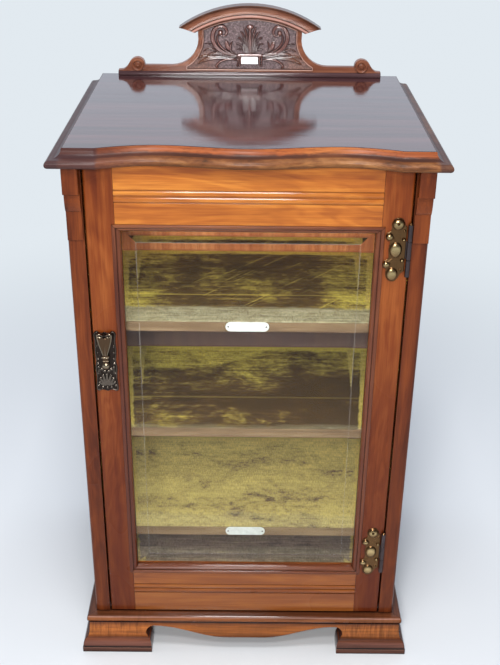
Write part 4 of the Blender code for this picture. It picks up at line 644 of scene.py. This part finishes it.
def relief_mesh(name, outline, step, back_y, base, height, place=(0.0, 0.0), edge=0.7):
    """A plate whose back is at y = back_y and whose face stands base + height(points) in front of it."""
    ring = resample(outline, step)
    low, high = ring.min(axis=0), ring.max(axis=0)
    across, up = (np.arange(low[i] + step / 2, high[i], step) for i in (0, 1))
    grid = np.array([(x + step / 4 * (-1) ** row, z) for row, z in enumerate(up) for x in across])
    clear = np.full(len(grid), 9.9)
    for corner in ring:
        clear = np.minimum(clear, np.hypot(*(grid - corner).T))
    grid = grid[inside_of(grid, ring) & (clear > 0.55 * step)]
    flat = [Vector(p) for p in np.vstack([ring, grid])]
    corners, _, faces, origins, _, _ = delaunay_2d_cdt(flat, [], [list(range(len(ring)))], 1, 1e-7)
    found = {}
    for index, origin in enumerate(origins):
        for source in origin:
            found.setdefault(source, index)
    points = np.array([tuple(corner) for corner in corners])
    rise = base + height(points)
    rim = [found[index] for index in range(len(ring))]
    rise[rim] = np.minimum(rise[rim], base * edge)
    x, z = points[:, 0] + place[0], points[:, 1] + place[1]
    front = np.column_stack([x, back_y - rise, z])
    back = np.column_stack([x[rim], np.full(len(rim), back_y), z[rim]])
    count = len(front)
    shell = [tuple(face) for face in faces]
    for index in range(len(rim)):
        after = (index + 1) % len(rim)
        shell.append((rim[index], rim[after], count + after, count + index))
    shell.append(tuple(range(count, count + len(rim))))
    piece = finish_mesh(name, np.vstack([front, back]).tolist(), shell, 42)
    relief = piece.data.attributes.new("relief", "FLOAT", "POINT")
    share = np.clip((rise - base) / max(rise.max() - base, 1e-6), 0, 1)
    relief.data.foreach_set("value", np.concatenate([share, np.zeros(len(back))]).astype(np.float32))
    return piece


def new_object(name, data):
    thing = bpy.data.objects.new(name, data)
    bpy.context.scene.collection.objects.link(thing)
    return thing


def finish_mesh(name, corners, faces, sharp_angle):
    """A smooth mesh object, its normals outwards and its edges sharp above an angle."""
    mesh = bpy.data.meshes.new(name)
    mesh.from_pydata(corners, [], faces)
    work = bmesh.new()
    work.from_mesh(mesh)
    bmesh.ops.recalc_face_normals(work, faces=work.faces)
    work.to_mesh(mesh)
    work.free()
    mesh.shade_smooth()
    mesh.set_sharp_from_angle(angle=math.radians(sharp_angle))
    return new_object(name, mesh)


def ringed_mesh(name, rings, sharp_angle, closed=False):
    """A mesh over rings of as many points each, with caps at its ends or closed on itself."""
    count, rows = len(rings[0]), len(rings)
    faces = [] if closed else [tuple(range(count)), tuple(range((rows - 1) * count, rows * count))]
    for row in range(rows if closed else rows - 1):
        here, there = row * count, (row + 1) % rows * count
        for k in range(count):
            after = (k + 1) % count
            faces.append((here + k, here + after, there + after, there + k))
    return finish_mesh(name, [tuple(corner) for ring in rings for corner in ring], faces, sharp_angle)


def dress(piece, material, body, slot, *nodes):
    """Gives a piece its material, its body and the CAD nodes that it stands for."""
    paint(piece, MATERIALS[material])
    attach(piece, body)
    if nodes:
        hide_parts(*nodes)
    return piece


def arc_points(centre, radius, start, end, steps):
    turns = (math.radians(start + (end - start) * index / steps) for index in range(steps + 1))
    return [(centre[0] + radius * math.cos(a), centre[1] + radius * math.sin(a)) for a in turns]


def circle(centre, radius, count=24):
    return arc_points(centre, radius, 0, 360 - 360 / count, count - 1)


def highest(points, strokes, bosses=()):
    """The highest of some strokes and bosses at each point."""
    heights = [stroke(points, *row) for row in strokes]
    return np.maximum.reduce(heights + [boss(points, *row) for row in bosses])


def halved(points):
    """The points with those on the left folded over to the right."""
    return np.column_stack([np.abs(points[:, 0]), points[:, 1]])


def plain(points):
    """No carving: a flat face."""
    return np.zeros(len(points))


# The carved panel of the upstand; its strokes in mm from the middle of its base, all on its left half
BOARD_FACE = 0.218
PANEL_BASE = TOP_Z + SEAT_GAP + 0.0115
RAIL_Z = TOP_Z + SEAT_GAP + 0.017
SWEEP_RADIUS = 0.046
NECK = 0.088
PANEL_MARGIN = 0.0095
CROWN_MARGIN = 0.0262
BEAD_RADIUS = 0.0009
PALMETTE = (
    ((0, 27, 3.4, 3.4), (0, 45, 3.6, 4.2), (0, 58, 3.3, 4.6), (0.2, 71, 2.2, 4.9), (0.2, 75, 0.9, 4.0)),
    ((-2.5, 28, 2.2, 2.8), (-4.6, 46, 2.6, 3.4), (-6.0, 58, 2.5, 3.9), (-8.6, 67.5, 1.9, 4.6),
     (-10.5, 71, 0.8, 3.6)),
    ((-4.5, 28, 2.0, 2.4), (-7.6, 44, 2.4, 3.0), (-10.0, 54, 2.4, 3.5), (-14.0, 61.5, 1.9, 4.3),
     (-17, 63, 0.8, 3.2)),
    ((-6.0, 28, 1.8, 2.2), (-9.8, 40, 2.3, 2.8), (-13.4, 48, 2.3, 3.2), (-18.4, 53, 1.8, 4.0),
     (-21, 53, 0.8, 3.0)),
    ((-7.0, 28, 1.7, 2.0), (-11.2, 36, 2.2, 2.6), (-16.0, 41, 2.1, 3.0), (-20.8, 43, 1.6, 3.7),
     (-23, 42, 0.7, 2.8)),
    ((-8.0, 28, 1.5, 1.8), (-12.0, 32, 1.9, 2.4), (-16.5, 34.4, 1.8, 2.8), (-20.0, 34.5, 1.2, 3.2),
     (-22, 33, 0.6, 2.4)),
)
SCROLL = ((-21, 22, 2.2, 3.4), (-33, 25, 2.7, 3.8), (-46, 29, 3.2, 4.0), (-57, 37, 3.7, 4.2),
          (-63.5, 50, 4.0, 4.5), (-62, 63, 3.8, 4.6), (-54, 71.5, 3.4, 4.7), (-44.5, 71, 3.0, 4.6),
          (-39.5, 63.5, 2.6, 4.4), (-43, 56.5, 2.1, 4.1), (-49.5, 57, 1.7, 3.8))
INNER_STEM = ((-22, 23, 1.5, 3.0), (-36, 29, 1.8, 3.2), (-47, 35.5, 2.0, 3.4), (-54, 44, 2.1, 3.4),
              (-56, 54, 1.8, 3.2), (-52, 61, 1.2, 2.8))
LEAVES = (
    ((-24, 21, 2.2, 3.2), (-40, 23.5, 2.9, 3.6), (-55, 26.5, 2.8, 4.0), (-66, 26.0, 2.0, 4.3),
     (-73, 23, 0.9, 3.6)),
    ((-40, 23, 2.0, 2.8), (-55, 30, 2.3, 3.4), (-66, 34, 2.0, 3.9), (-74, 33, 1.3, 3.6),
     (-79, 30, 0.7, 2.8)),
    ((-50, 30, 1.8, 2.4), (-62, 39, 2.0, 3.0), (-70, 43, 1.5, 3.4), (-76, 43, 0.8, 2.8)),
    ((-28, 19, 2.0, 2.6), (-48, 19.5, 3.4, 3.2), (-66, 18.5, 3.8, 3.6), (-80, 14, 2.8, 3.8),
     (-89, 9, 1.2, 3.0)),
    ((-60, 20, 2.4, 2.6), (-75, 22.5, 2.4, 3.2), (-86, 20, 1.6, 3.0), (-93, 15, 0.8, 2.4)),
)
LOWER_STEM = ((-20, 15, 1.6, 2.6), (-30, 17, 1.9, 3.4), (-42, 16, 2.2, 4.0), (-52, 11.5, 2.3, 4.2),
              (-57.5, 5.0, 2.2, 4.2), (-55, 2.4, 1.6, 3.6))
BUD = ((-25, 26, 1.2, 2.4), (-33, 31, 1.6, 3.0), (-37.5, 37, 4.2, 4.4), (-39.5, 43, 3.6, 4.6),
       (-41, 48, 1.4, 3.6))
BUD_LEAF = ((-29, 27, 1.2, 2.2), (-33, 35, 1.9, 3.0), (-32.5, 42, 1.6, 3.4), (-30, 47, 0.8, 2.8))


def panel_ring(margin):
    """The sunk panel's outline, the same as the CAD's, drawn finer."""
    radius = SWEEP_RADIUS + PANEL_MARGIN + margin
    sweep = arc_points((NECK + SWEEP_RADIUS, RAIL_Z + SWEEP_RADIUS), radius, 242, 174, 6)
    crown = ARCH_RADIUS - CROWN_MARGIN - margin
    end = math.degrees(math.asin(sweep[-1][0] / crown))
    right = [(sweep[0][0], PANEL_BASE + margin)] + sweep
    left = [(-x, z) for x, z in reversed(right)]
    return right[:-1] + arc_points((0.0, ARCH_CENTRE), crown, 90 - end, 90 + end, 10) + left[1:]


def carving_height(points):
    """The palmette over its tablet, the C scrolls, buds, stems and leaves, on a punched ground."""
    half = halved(points) * (-1, 1)
    dents = np.sin(half[:, 0] * 4700 + 3 * np.sin(half[:, 1] * 2300)) * np.sin(half[:, 1] * 4300)
    strokes = [(row, 0.34, 0.62) for row in PALMETTE] + [(row, 0.42, 0.7) for row in LEAVES]
    strokes += [(SCROLL, 0.28), (INNER_STEM,), (LOWER_STEM,), (BUD_LEAF,), (BUD, 0.2)]
    height = highest(half, strokes, ((0.0, 71.0, 6.6, 4.2, 4.9, 0.4), (-50.5, 61.0, 4.4, 5.0, 4.8)))
    height = np.maximum(height, 0.00012 + 0.00014 * dents)
    across, up = half[:, 0] / MM, half[:, 1] / MM
    tablet = (across > -14.6) & (up > 9.5) & (up < 21.5)
    height = np.where(tablet, 0.0046 - 0.00022 * (up - 9.5), height)
    bar = (across > -20.0) & (up >= 21.5) & (up < 27.0)
    height = np.where(bar, 0.0026 + 0.002 * np.sqrt(np.clip(1 - ((up - 24.2) / 2.9) ** 2, 0, 1)), height)
    brackets = [[((x - 1.2, 5.5, 1.5, level), (x + 0.3, 10, 1.7, level), (x + 0.4, 18, 1.7, level),
                  (x - 0.8, 24.5, 1.8, level))] for x, level in ((-16.9, 4.4), (-20.4, 3.4))]
    return np.maximum(height, highest(half, brackets))


def build_carving():
    outline = [(x, z - PANEL_BASE) for x, z in panel_ring(0.0004)]
    piece = relief_mesh("carved_panel", outline, 0.00075, BOARD_FACE + 0.004 - SEAT_GAP, 0.0012,
                        carving_height, (0.0, PANEL_BASE))
    dress(piece, "carved_wood", "carcass", "carved_walnut", "upstand_carving")
    path = [Vector((x, BOARD_FACE - 0.0002, z)) for x, z in resample(panel_ring(-0.0011), 0.003)]
    rings = []
    for index, point in enumerate(path):
        along = (path[(index + 1) % len(path)] - path[index - 1]).normalized()
        side = along.cross(Vector((0, 1, 0))).normalized()
        lift = side.cross(along).normalized()
        rings.append([point + side * u + lift * v for u, v in circle((0.0, 0.0), BEAD_RADIUS, 10)])
    dress(ringed_mesh("panel_arris_bead", rings, 60, closed=True), "arris_wood", "carcass", "walnut")


# Door furniture, in mm; the hinge from its plate's edge and foot, the handle from its centre
DOOR_FACE = -0.19
FURNITURE_BACK = DOOR_FACE - SEAT_GAP
KNUCKLE_RADIUS = 0.0035
HINGE_AXIS = (0.2355 - SEAT_GAP - KNUCKLE_RADIUS, DOOR_FACE - 0.0042)
PLATE_EDGE = HINGE_AXIS[0] - KNUCKLE_RADIUS - 0.0009
HINGE_OUTLINE = (
    (0.0, 17.0), (4.6, 13.6), (8.2, 7.0), (12.0, 1.8), (17.0, 0.3), (22.4, 2.6), (26.2, 9.0), (26.4, 16.0),
    (26.6, 20.4), (31.0, 22.6), (32.2, 28.0), (28.8, 33.0), (24.0, 36.6), (23.8, 43.0), (24.4, 50.0),
    (23.4, 58.0), (23.4, 63.5), (27.8, 65.0), (30.0, 70.5), (27.8, 76.2), (22.8, 79.6), (21.8, 83.5),
    (22.2, 90.0), (19.4, 96.4), (13.0, 99.4), (7.0, 97.6), (3.8, 92.0), (2.4, 87.5), (0.0, 86.0),
)
HINGE_BOSSES = (
    (12.9, 89.8, 8.6, 8.6, 4.3), (24.2, 70.4, 5.4, 5.4, 4.0), (14.4, 50.6, 8.9, 12.2, 4.6),
    (26.4, 27.4, 5.5, 5.4, 4.2), (17.4, 12.4, 8.3, 10.4, 4.4), (4.0, 34.0, 2.7, 3.2, 4.0),
    (3.6, 66.5, 2.5, 2.8, 4.0), (3.4, 80.0, 1.7, 2.0, 1.8), (5.6, 19.4, 1.8, 2.4, 1.8),
    (24.6, 62.0, 1.5, 1.5, 1.4), (25.6, 36.6, 1.5, 1.5, 1.4),
)
HINGE_BARS = (
    [((12.8, 90.0, 5.0, 0.8), (13.2, 70.0, 4.6, 0.7), (14.0, 50.0, 6.0, 0.9), (14.6, 30.0, 4.6, 0.7),
      (16.6, 14.0, 5.4, 0.8))],
    [((13.6, 62.0, 2.4, 0.9), (24.0, 70.4, 3.4, 1.0))],
    [((14.0, 38.0, 2.4, 0.9), (26.0, 27.4, 3.4, 1.0))],
)


def hinge_height(points):
    flipped = points * (-1, 1)
    hole = boss(flipped, 13.2, 91.6, 2.0, 2.0, 1.0, 0.25)
    return highest(flipped, HINGE_BARS, HINGE_BOSSES) - 3.4 * hole


def build_hinges():
    outline = [tuple(p) for p in catmull([(-x, z) for x, z in HINGE_OUTLINE], 5) * MM]
    web_ring = [(0.0, 0.0), (0.0052, 0.0), (0.0052, 0.027), (0.0, 0.027)]
    for level in ("upper", "lower"):
        node = "hinge_plate_" + level
        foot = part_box(node)[0].z
        plate = relief_mesh("brass_plate_" + level, outline, 0.0006, FURNITURE_BACK, 0.0011, hinge_height,
                            (PLATE_EDGE, foot))
        dress(plate, "polished_brass", "door", "brass", node)
        low, high = foot + 36.0 * MM, foot + 64.0 * MM
        profile = ((0.002, low), (0.0031, low), (KNUCKLE_RADIUS, low + 0.0004),
                   (KNUCKLE_RADIUS, high - 0.0004), (0.0031, high), (0.002, high))
        rings = [[(x, y, z) for x, y in circle(HINGE_AXIS, radius, 28)] for radius, z in profile]
        barrel = ringed_mesh("door_knuckle_" + level, rings, 40, closed=True)
        dress(barrel, "grey_steel", "door", "steel")
        web = relief_mesh("knuckle_web_" + level, web_ring, 0.002, FURNITURE_BACK, 0.001,
                          lambda points: points[:, 0] * 0.08, (PLATE_EDGE - 0.0004, low + 0.0005))
        dress(web, "grey_steel", "door", "steel")


HANDLE_AT = (-0.2153, 0.574)
HANDLE_RING = (
    (0.0, -52.0), (7.6, -49.7), (14.4, -52.0), (17.0, -46.8), (15.8, -26.0), (17.0, -11.4), (15.3, 0.0),
    (16.5, 18.2), (15.8, 36.4), (17.0, 46.8), (12.2, 52.0), (6.0, 48.4), (0.0, 50.4),
)
DROP_RING = (
    (2.2, 42.3), (2.2, 47.8), (3.6, 49.0), (7.0, 50.8), (10.6, 50.2), (12.2, 46.6), (11.6, 40.0),
    (9.6, 32.0), (6.6, 22.6), (4.3, 15.2), (4.4, 12.2), (6.2, 10.6), (6.0, 8.2), (4.1, 6.9), (4.7, 3.2),
    (3.7, 0.6), (5.2, -2.2), (5.6, -6.0), (3.6, -10.2), (0.0, -11.2),
)
HANDLE_RIM = (
    (7.4, -48.6, 1.0, 0.8), (14.0, -50.0, 1.1, 1.0), (15.9, -45.5, 1.1, 1.0), (14.7, -26.0, 1.1, 1.0),
    (15.8, -11.0, 1.1, 1.0), (14.2, 0.0, 1.1, 1.0), (15.3, 18.0, 1.1, 1.0), (14.6, 36.0, 1.1, 1.0),
    (15.6, 46.2, 1.1, 1.0), (12.0, 50.6, 1.0, 0.9), (6.0, 47.2, 0.9, 0.6),
)
HANDLE_RAYS = (((0, -41), (0, -31), (0, -21.5)), ((1.2, -41), (3.8, -33), (5.8, -24.5)),
               ((1.8, -41), (6.6, -36), (10.0, -29.5)), ((2.2, -41.6), (7.6, -39.6), (11.6, -36.4)))
HANDLE_BEADS = (
    (11.4, -9.8, 2.6, 2.3), (12.4, -3.6, 2.7, 2.4), (7.2, -13.5, 3.0, 1.9), (3.0, -17.0, 2.8, 1.7),
    (12.0, 4.2, 1.9, 1.4), (12.4, 26.0, 1.6, 1.1), (12.2, 15.0, 1.7, 1.2), (13.0, -20.5, 2.0, 1.5),
    (12.9, -42.0, 2.2, 1.9),
)
DROP_EDGE = ((2.9, 47.2, 0.9, 1.4), (6.0, 49.2, 1.6, 1.9), (9.6, 48.4, 1.9, 2.1), (10.6, 44.6, 1.5, 1.8),
             (9.8, 38.0, 1.2, 1.5), (7.6, 29.0, 1.2, 1.4), (5.0, 20.0, 1.2, 1.4), (3.2, 14.0, 1.2, 1.3))
DROP_CURL = ((3.0, 45.6, 0.9, 1.2), (5.4, 43.8, 1.2, 1.5), (8.2, 44.6, 1.2, 1.5))
DROP_COLLAR = ((-5.6, 9.4, 1.4, 1.9), (5.6, 9.4, 1.4, 1.9))
DROP_BAND = ((-4.0, 3.4, 1.0, 1.3), (4.0, 3.4, 1.0, 1.3))
DROP_NECK = ((0.0, 13.0, 1.6, 0.9), (0.0, 25.0, 1.2, 0.6), (0.0, 33.0, 0.8, 0.2))


def mirrored_ring(rows, steps=5):
    right = catmull(rows, steps) * MM
    return [tuple(p) for p in right] + [(-x, z) for x, z in right[::-1] if abs(x) > 0.00005]


def handle_height(points):
    """A rim, a fan of rays, beads and small leaves, with a keyhole, on a pitted ground."""
    half = halved(points)
    strokes = [(((*foot, 1.3, 1.2), (*middle, 2.2, 1.8), (*tip, 2.3, 2.2)), 0.3)
               for foot, middle, tip in HANDLE_RAYS]
    strokes += [[((x, -22, 0.8, 0.7), (x + 1.4, -15.5, 1.0, 0.9), (x - 0.5, -12.5, 0.8, 0.7))]
                for x in (9.5, 11.5)]
    beads = [(x, z, size, size, level) for x, z, size, level in HANDLE_BEADS]
    beads += [(x, -45.6 + 0.16 * x, 2.1, 2.6, 2.4) for x in (0.0, 6.6)]
    height = highest(half, strokes + [[HANDLE_RIM]], beads)
    pits = np.sin(points[:, 0] * 3900) * np.sin(points[:, 1] * 4100 + 2.0)
    hole = boss(half, 0.0, 0.0, 2.4, 2.4, 1.0, 0.2) + boss(half, 0.0, -5.0, 1.3, 4.6, 1.0, 0.2)
    return np.maximum(height, 0.00008 * pits) - np.minimum(hole, 0.001)


def drop_height(points):
    """A dished heart with a rolled edge, a collar, a band and a ball."""
    half = halved(points)
    dish = -0.0009 * (1 - np.clip(np.hypot(half[:, 0] / 0.0085, (half[:, 1] - 0.038) / 0.017), 0, 1) ** 2)
    strokes = [[row] for row in (DROP_EDGE, DROP_CURL, DROP_COLLAR, DROP_BAND, DROP_NECK)]
    return np.maximum(highest(half, strokes, [(0.0, -5.6, 5.4, 5.4, 2.9)]), dish + 0.0002)


def build_handle():
    plate = relief_mesh("bronze_backplate", mirrored_ring(HANDLE_RING), 0.0006, FURNITURE_BACK, 0.0014,
                        handle_height, HANDLE_AT)
    dress(plate, "dark_bronze", "door", "old_brass", "handle_plate")
    lug_ring = [tuple(p) for p in np.array(circle((0.0, 46.5), 2.6)) * MM]
    lug = relief_mesh("bronze_lug", lug_ring, 0.0008, DOOR_FACE - 0.001, 0.0058, plain, HANDLE_AT, 1.0)
    lug.data.transform(Matrix.Translation((HANDLE_AT[0], 0, 0)) @ Matrix.Diagonal((0.62, 1, 1, 1))
                       @ Matrix.Translation((-HANDLE_AT[0], 0, 0)))
    dress(lug, "dark_bronze", "door", "old_brass")
    drop = relief_mesh("bronze_drop", mirrored_ring(DROP_RING), 0.0005, DOOR_FACE - 0.0051, 0.002,
                       drop_height, HANDLE_AT)
    dress(drop, "worn_bronze", "drop_handle", "old_brass", "drop_handle")


def serpentine(reach):
    """How far the top's front edge lies behind its corner line."""
    if reach >= TOP_EAR:
        return 0.0
    hollow = TOP_EAR * 0.62
    if reach >= hollow:
        return 0.018 * math.sin((TOP_EAR - reach) / (TOP_EAR - hollow) * math.pi / 2)
    return 0.004 + 0.014 * (1 - math.cos(math.pi * reach / hollow)) / 2


def top_section():
    """The top's edge as inset and height, as in the CAD but finer."""
    section = [(0.006 - 0.006 * math.cos(a), 0.006 + 0.006 * math.sin(a))
               for a in (math.radians(-90 + 12 * k) for k in range(16))]
    section += [(0.0075 + 0.0135 * math.sin(a), 0.023 - 0.011 * math.cos(a))
                for a in (math.radians(7.5 * k) for k in range(13))]
    return section + [(0.0225 - 0.0015 * math.cos(a), 0.023 + 0.0015 * math.sin(a))
                      for a in (math.radians(22.5 * k) for k in range(1, 5))]


def build_top_board():
    low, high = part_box("top_board")
    half, front, back = high.x, low.y, high.y
    path = [(-half, back), (-half, front)]
    path += [(TOP_EAR * k / 60, front + serpentine(TOP_EAR * abs(k) / 60)) for k in range(-60, 61)]
    path = [np.array(p) for p in path + [(half, front), (half, back)]]
    ways = [(b - a) / np.linalg.norm(b - a) for a, b in zip(path, path[1:])]
    sides = [np.array((-way[1], way[0])) for way in ways]
    mitres = [np.array((1.0, 0.0))]
    for before, after in zip(sides, sides[1:]):
        mitre = (before + after) / np.linalg.norm(before + after)
        mitres.append(mitre / mitre.dot(before))
    mitres.append(np.array((-1.0, 0.0)))
    rings = [[(*(point + inset * mitre), TOP_UNDER + height) for point, mitre in zip(path, mitres)]
             for inset, height in top_section()]
    board = ringed_mesh("moulded_top_board", rings, 16)
    dress(board, "top_board_edge", "carcass", "dark_walnut", "top_board")
    board.data.materials.append(MATERIALS["top_board_polish"])
    for cap in board.data.polygons[:2]:
        cap.use_smooth = False
        cap.material_index = 1


def build_glass():
    """The pane: a polished bevel all round with a fine arris where it meets the flat."""
    low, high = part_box("door_glass")
    rings = []
    for inset, y in ((0.0, high.y), (0.0, low.y + 0.0032), (0.0261, low.y + 0.00015), (0.027, low.y)):
        rings.append([(low.x + inset, y, low.z + inset), (high.x - inset, y, low.z + inset),
                      (high.x - inset, y, high.z - inset), (low.x + inset, y, high.z - inset)])
    pane = ringed_mesh("bevelled_pane", rings, 0.1)
    dress(pane, "plate_glass", "door", "bevelled_glass", "door_glass")
    pane.data.materials.append(MATERIALS["glass_arris"])
    for face in pane.data.polygons[-4:]:
        face.material_index = 1


def build_foot_moulding():
    """A slim round moulding along the upstand's foot."""
    half, reach = 0.2265, 0.0042
    section = [(BOARD_FACE - SEAT_GAP, 0.0), (BOARD_FACE - reach, 0.0)]
    section += [(BOARD_FACE - reach + reach * (1 - math.cos(a)), 0.0012 + 0.0062 * math.sin(a))
                for a in (math.radians(9 * k) for k in range(10))]
    section += [(BOARD_FACE - SEAT_GAP, 0.0074)]
    rings = [[(x, y, TOP_Z + SEAT_GAP + z) for y, z in section] for x in (-half, half)]
    dress(ringed_mesh("upstand_foot_moulding", rings, 40), "foot_wood", "carcass", "walnut")


# The shoulder outside each end scroll, in mm outwards from the scroll's eye and up from the top
SCROLL_EYE = 0.193
SHOULDER = ((-2.0, 29.6), (3.0, 29.6), (8.0, 27.8), (12.5, 23.8), (16.0, 18.2), (20.0, 13.0), (25.0, 9.6),
            (30.0, 8.0), (33.2, 7.6))
SHOULDER_FOOT = ((0.0332, 0.001), (-0.002, 0.001))


def build_scroll_shoulders():
    """The board's outline sweeps up in a wave to each end scroll."""
    curve = [*(catmull(SHOULDER, 4) * MM), *SHOULDER_FOOT]
    for side, label in ((-1, "left"), (1, "right")):
        piece = relief_mesh("scroll_shoulder_" + label, [(side * u, w) for u, w in curve], 0.0016, 0.2297,
                            0.0125, plain, (side * SCROLL_EYE, TOP_Z + SEAT_GAP), 0.97)
        dress(piece, "upstand_wood", "carcass", "walnut")


def velvet_sheet(node, material, axes=(0, 1, 2)):
    """A velvet sheet glued on a board in its CAD solid's place, its nap uneven, its front edge frayed."""
    low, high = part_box(node)
    along, depth, thin = axes
    columns, rows = 150, 90
    inward = 1 if thin == 2 or low[0] < 0 else -1
    shown, hidden = (high[thin], low[thin]) if inward > 0 else (low[thin], high[thin])
    layer, line = (columns + 1) * (rows + 1), columns + 1
    corners = []
    for index in range(2 * layer):
        face, spot = divmod(index, layer)
        row, column = divmod(spot, line)
        point = [0.0, 0.0, 0.0]
        point[along] = low[along] + (high[along] - low[along]) * column / columns
        start = low[depth] + 0.0011 + 0.0011 * noise.noise(Vector((point[along] * 160, low[thin] * 9, 3.3)))
        point[depth] = start + (high[depth] - start) * row / rows
        nap = noise.noise(Vector((point[along] * 60, point[depth] * 90, low[thin] * 31)))
        point[thin] = shown - (0.00018 + 0.00018 * nap) * inward if face else hidden
        corners.append(tuple(point))
    starts = [face * layer + row * line + column for face in (0, 1) for row in range(rows)
              for column in range(columns)]
    faces = [(start, start + 1, start + line + 1, start + line) for start in starts]
    rim = [*range(columns), *range(columns, layer - 1, line), *range(layer - 1, rows * line, -1),
           *range(rows * line, 0, -line)]
    faces += [(start, end, end + layer, start + layer) for start, end in zip(rim, rim[1:] + rim[:1])]
    piece = dress(finish_mesh("velvet_" + node, corners, faces, 60), material, "carcass", "velvet", node)


def build_velvet():
    for level in ("upper", "middle", "lower"):
        velvet_sheet("shelf_lining_" + level, "velvet_" + level)
    velvet_sheet("floor_lining", "velvet_floor")
    for side in ("left", "right"):
        velvet_sheet("side_lining_" + side, "velvet_side", (2, 1, 0))


def build_label_pins():
    for level in ("upper", "lower"):
        low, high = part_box("label_" + level)
        for side, label in ((-1, "_left"), (1, "_right")):
            centre = ((low.x + high.x) / 2 + side * 0.0305, (low.z + high.z) / 2)
            pin = relief_mesh("label_pin_" + level + label, circle((0.0, 0.0), 0.0014), 0.0004, low.y,
                              0.0002, lambda points: boss(points, 0, 0, 1.4, 1.4, 0.7), centre)
            dress(pin, "grey_steel", "carcass", "steel")


build_carving()
build_hinges()
build_handle()
build_top_board()
build_glass()
build_foot_moulding()
build_scroll_shoulders()
build_velvet()
build_label_pins()


def add_camera():
    data = bpy.data.cameras.new("camera")
    data.sensor_width = SENSOR
    data.lens = SENSOR * FOCAL_SHARE
    camera = new_object("camera", data)
    camera.matrix_world = (Matrix.Translation(CAMERA_PLACE) @ Matrix.Rotation(-CAMERA_YAW, 4, "Z")
                           @ Matrix.Rotation(math.radians(90) - CAMERA_PITCH, 4, "X")
                           @ Matrix.Rotation(CAMERA_ROLL, 4, "Z"))
    bpy.context.scene.camera = camera


def add_lamp(name, place, target, size, power):
    data = bpy.data.lights.new(name, "AREA")
    data.shape = "RECTANGLE"
    data.size, data.size_y = size
    data.energy = power
    lamp = new_object(name, data)
    lamp.location = place
    lamp.rotation_euler = (Vector(target) - Vector(place)).to_track_quat("-Z", "Y").to_euler()


def add_stage():
    """A pale floor that fades into the backdrop, and a room that is brighter behind the cabinet."""
    mesh = bpy.data.meshes.new("floor")
    turns = ((-1, -1), (1, -1), (1, 1), (-1, 1))
    mesh.from_pydata([(x * FLOOR_REACH, y * FLOOR_REACH, 0) for x, y in turns], [], [(0, 1, 2, 3)])
    floor = new_object("floor", mesh)
    g = new_graph("floor_paint")
    g.surface(base_color=FLOOR_COLOUR, roughness=0.75)
    far = g.node("VectorMath", {0: g.node("TexCoord", {}, "Object")}, "Value", operation="LENGTH")
    camera, glossy, through = (g.node("LightPath", {}, "Is %s Ray" % kind)
                               for kind in ("Camera", "Glossy", "Transmission"))
    seen = g.maths("MINIMUM", camera + (glossy + through), 1.0)
    paint(floor, g.blend_shader(seen * g.fit(far, *FLOOR_FADE), "Emission", BACKDROP))
    world = bpy.data.worlds.new("soft_studio")
    bpy.context.scene.world = world
    room = Graph(world, "Background", "World Output")
    strength = room.fit(room.axis("Y", "TexCoord", "Generated"), -0.45, 0.35, *WORLD_LEVELS)
    room.surface(color=WORLD_COLOUR, strength=strength)
    room.blend_shader(room.node("LightPath", {}, "Is Camera Ray"), "Background", BACKDROP)


add_camera()
add_stage()
add_lamp("front_softbox", (-0.12, -1.85, 1.5), (0, 0, 0.46), (0.4, 0.3), 26.0)
add_lamp("high_softbox", (-0.05, -1.25, 1.8), (0, -0.1, 0.6), (0.36, 0.26), 9.0)
add_lamp("overhead_softbox", (-0.02, -0.7, 2.6), (0, -0.1, 0.5), (0.34, 0.45), 19.0)
bpy.context.scene.view_settings.view_transform = "Standard"
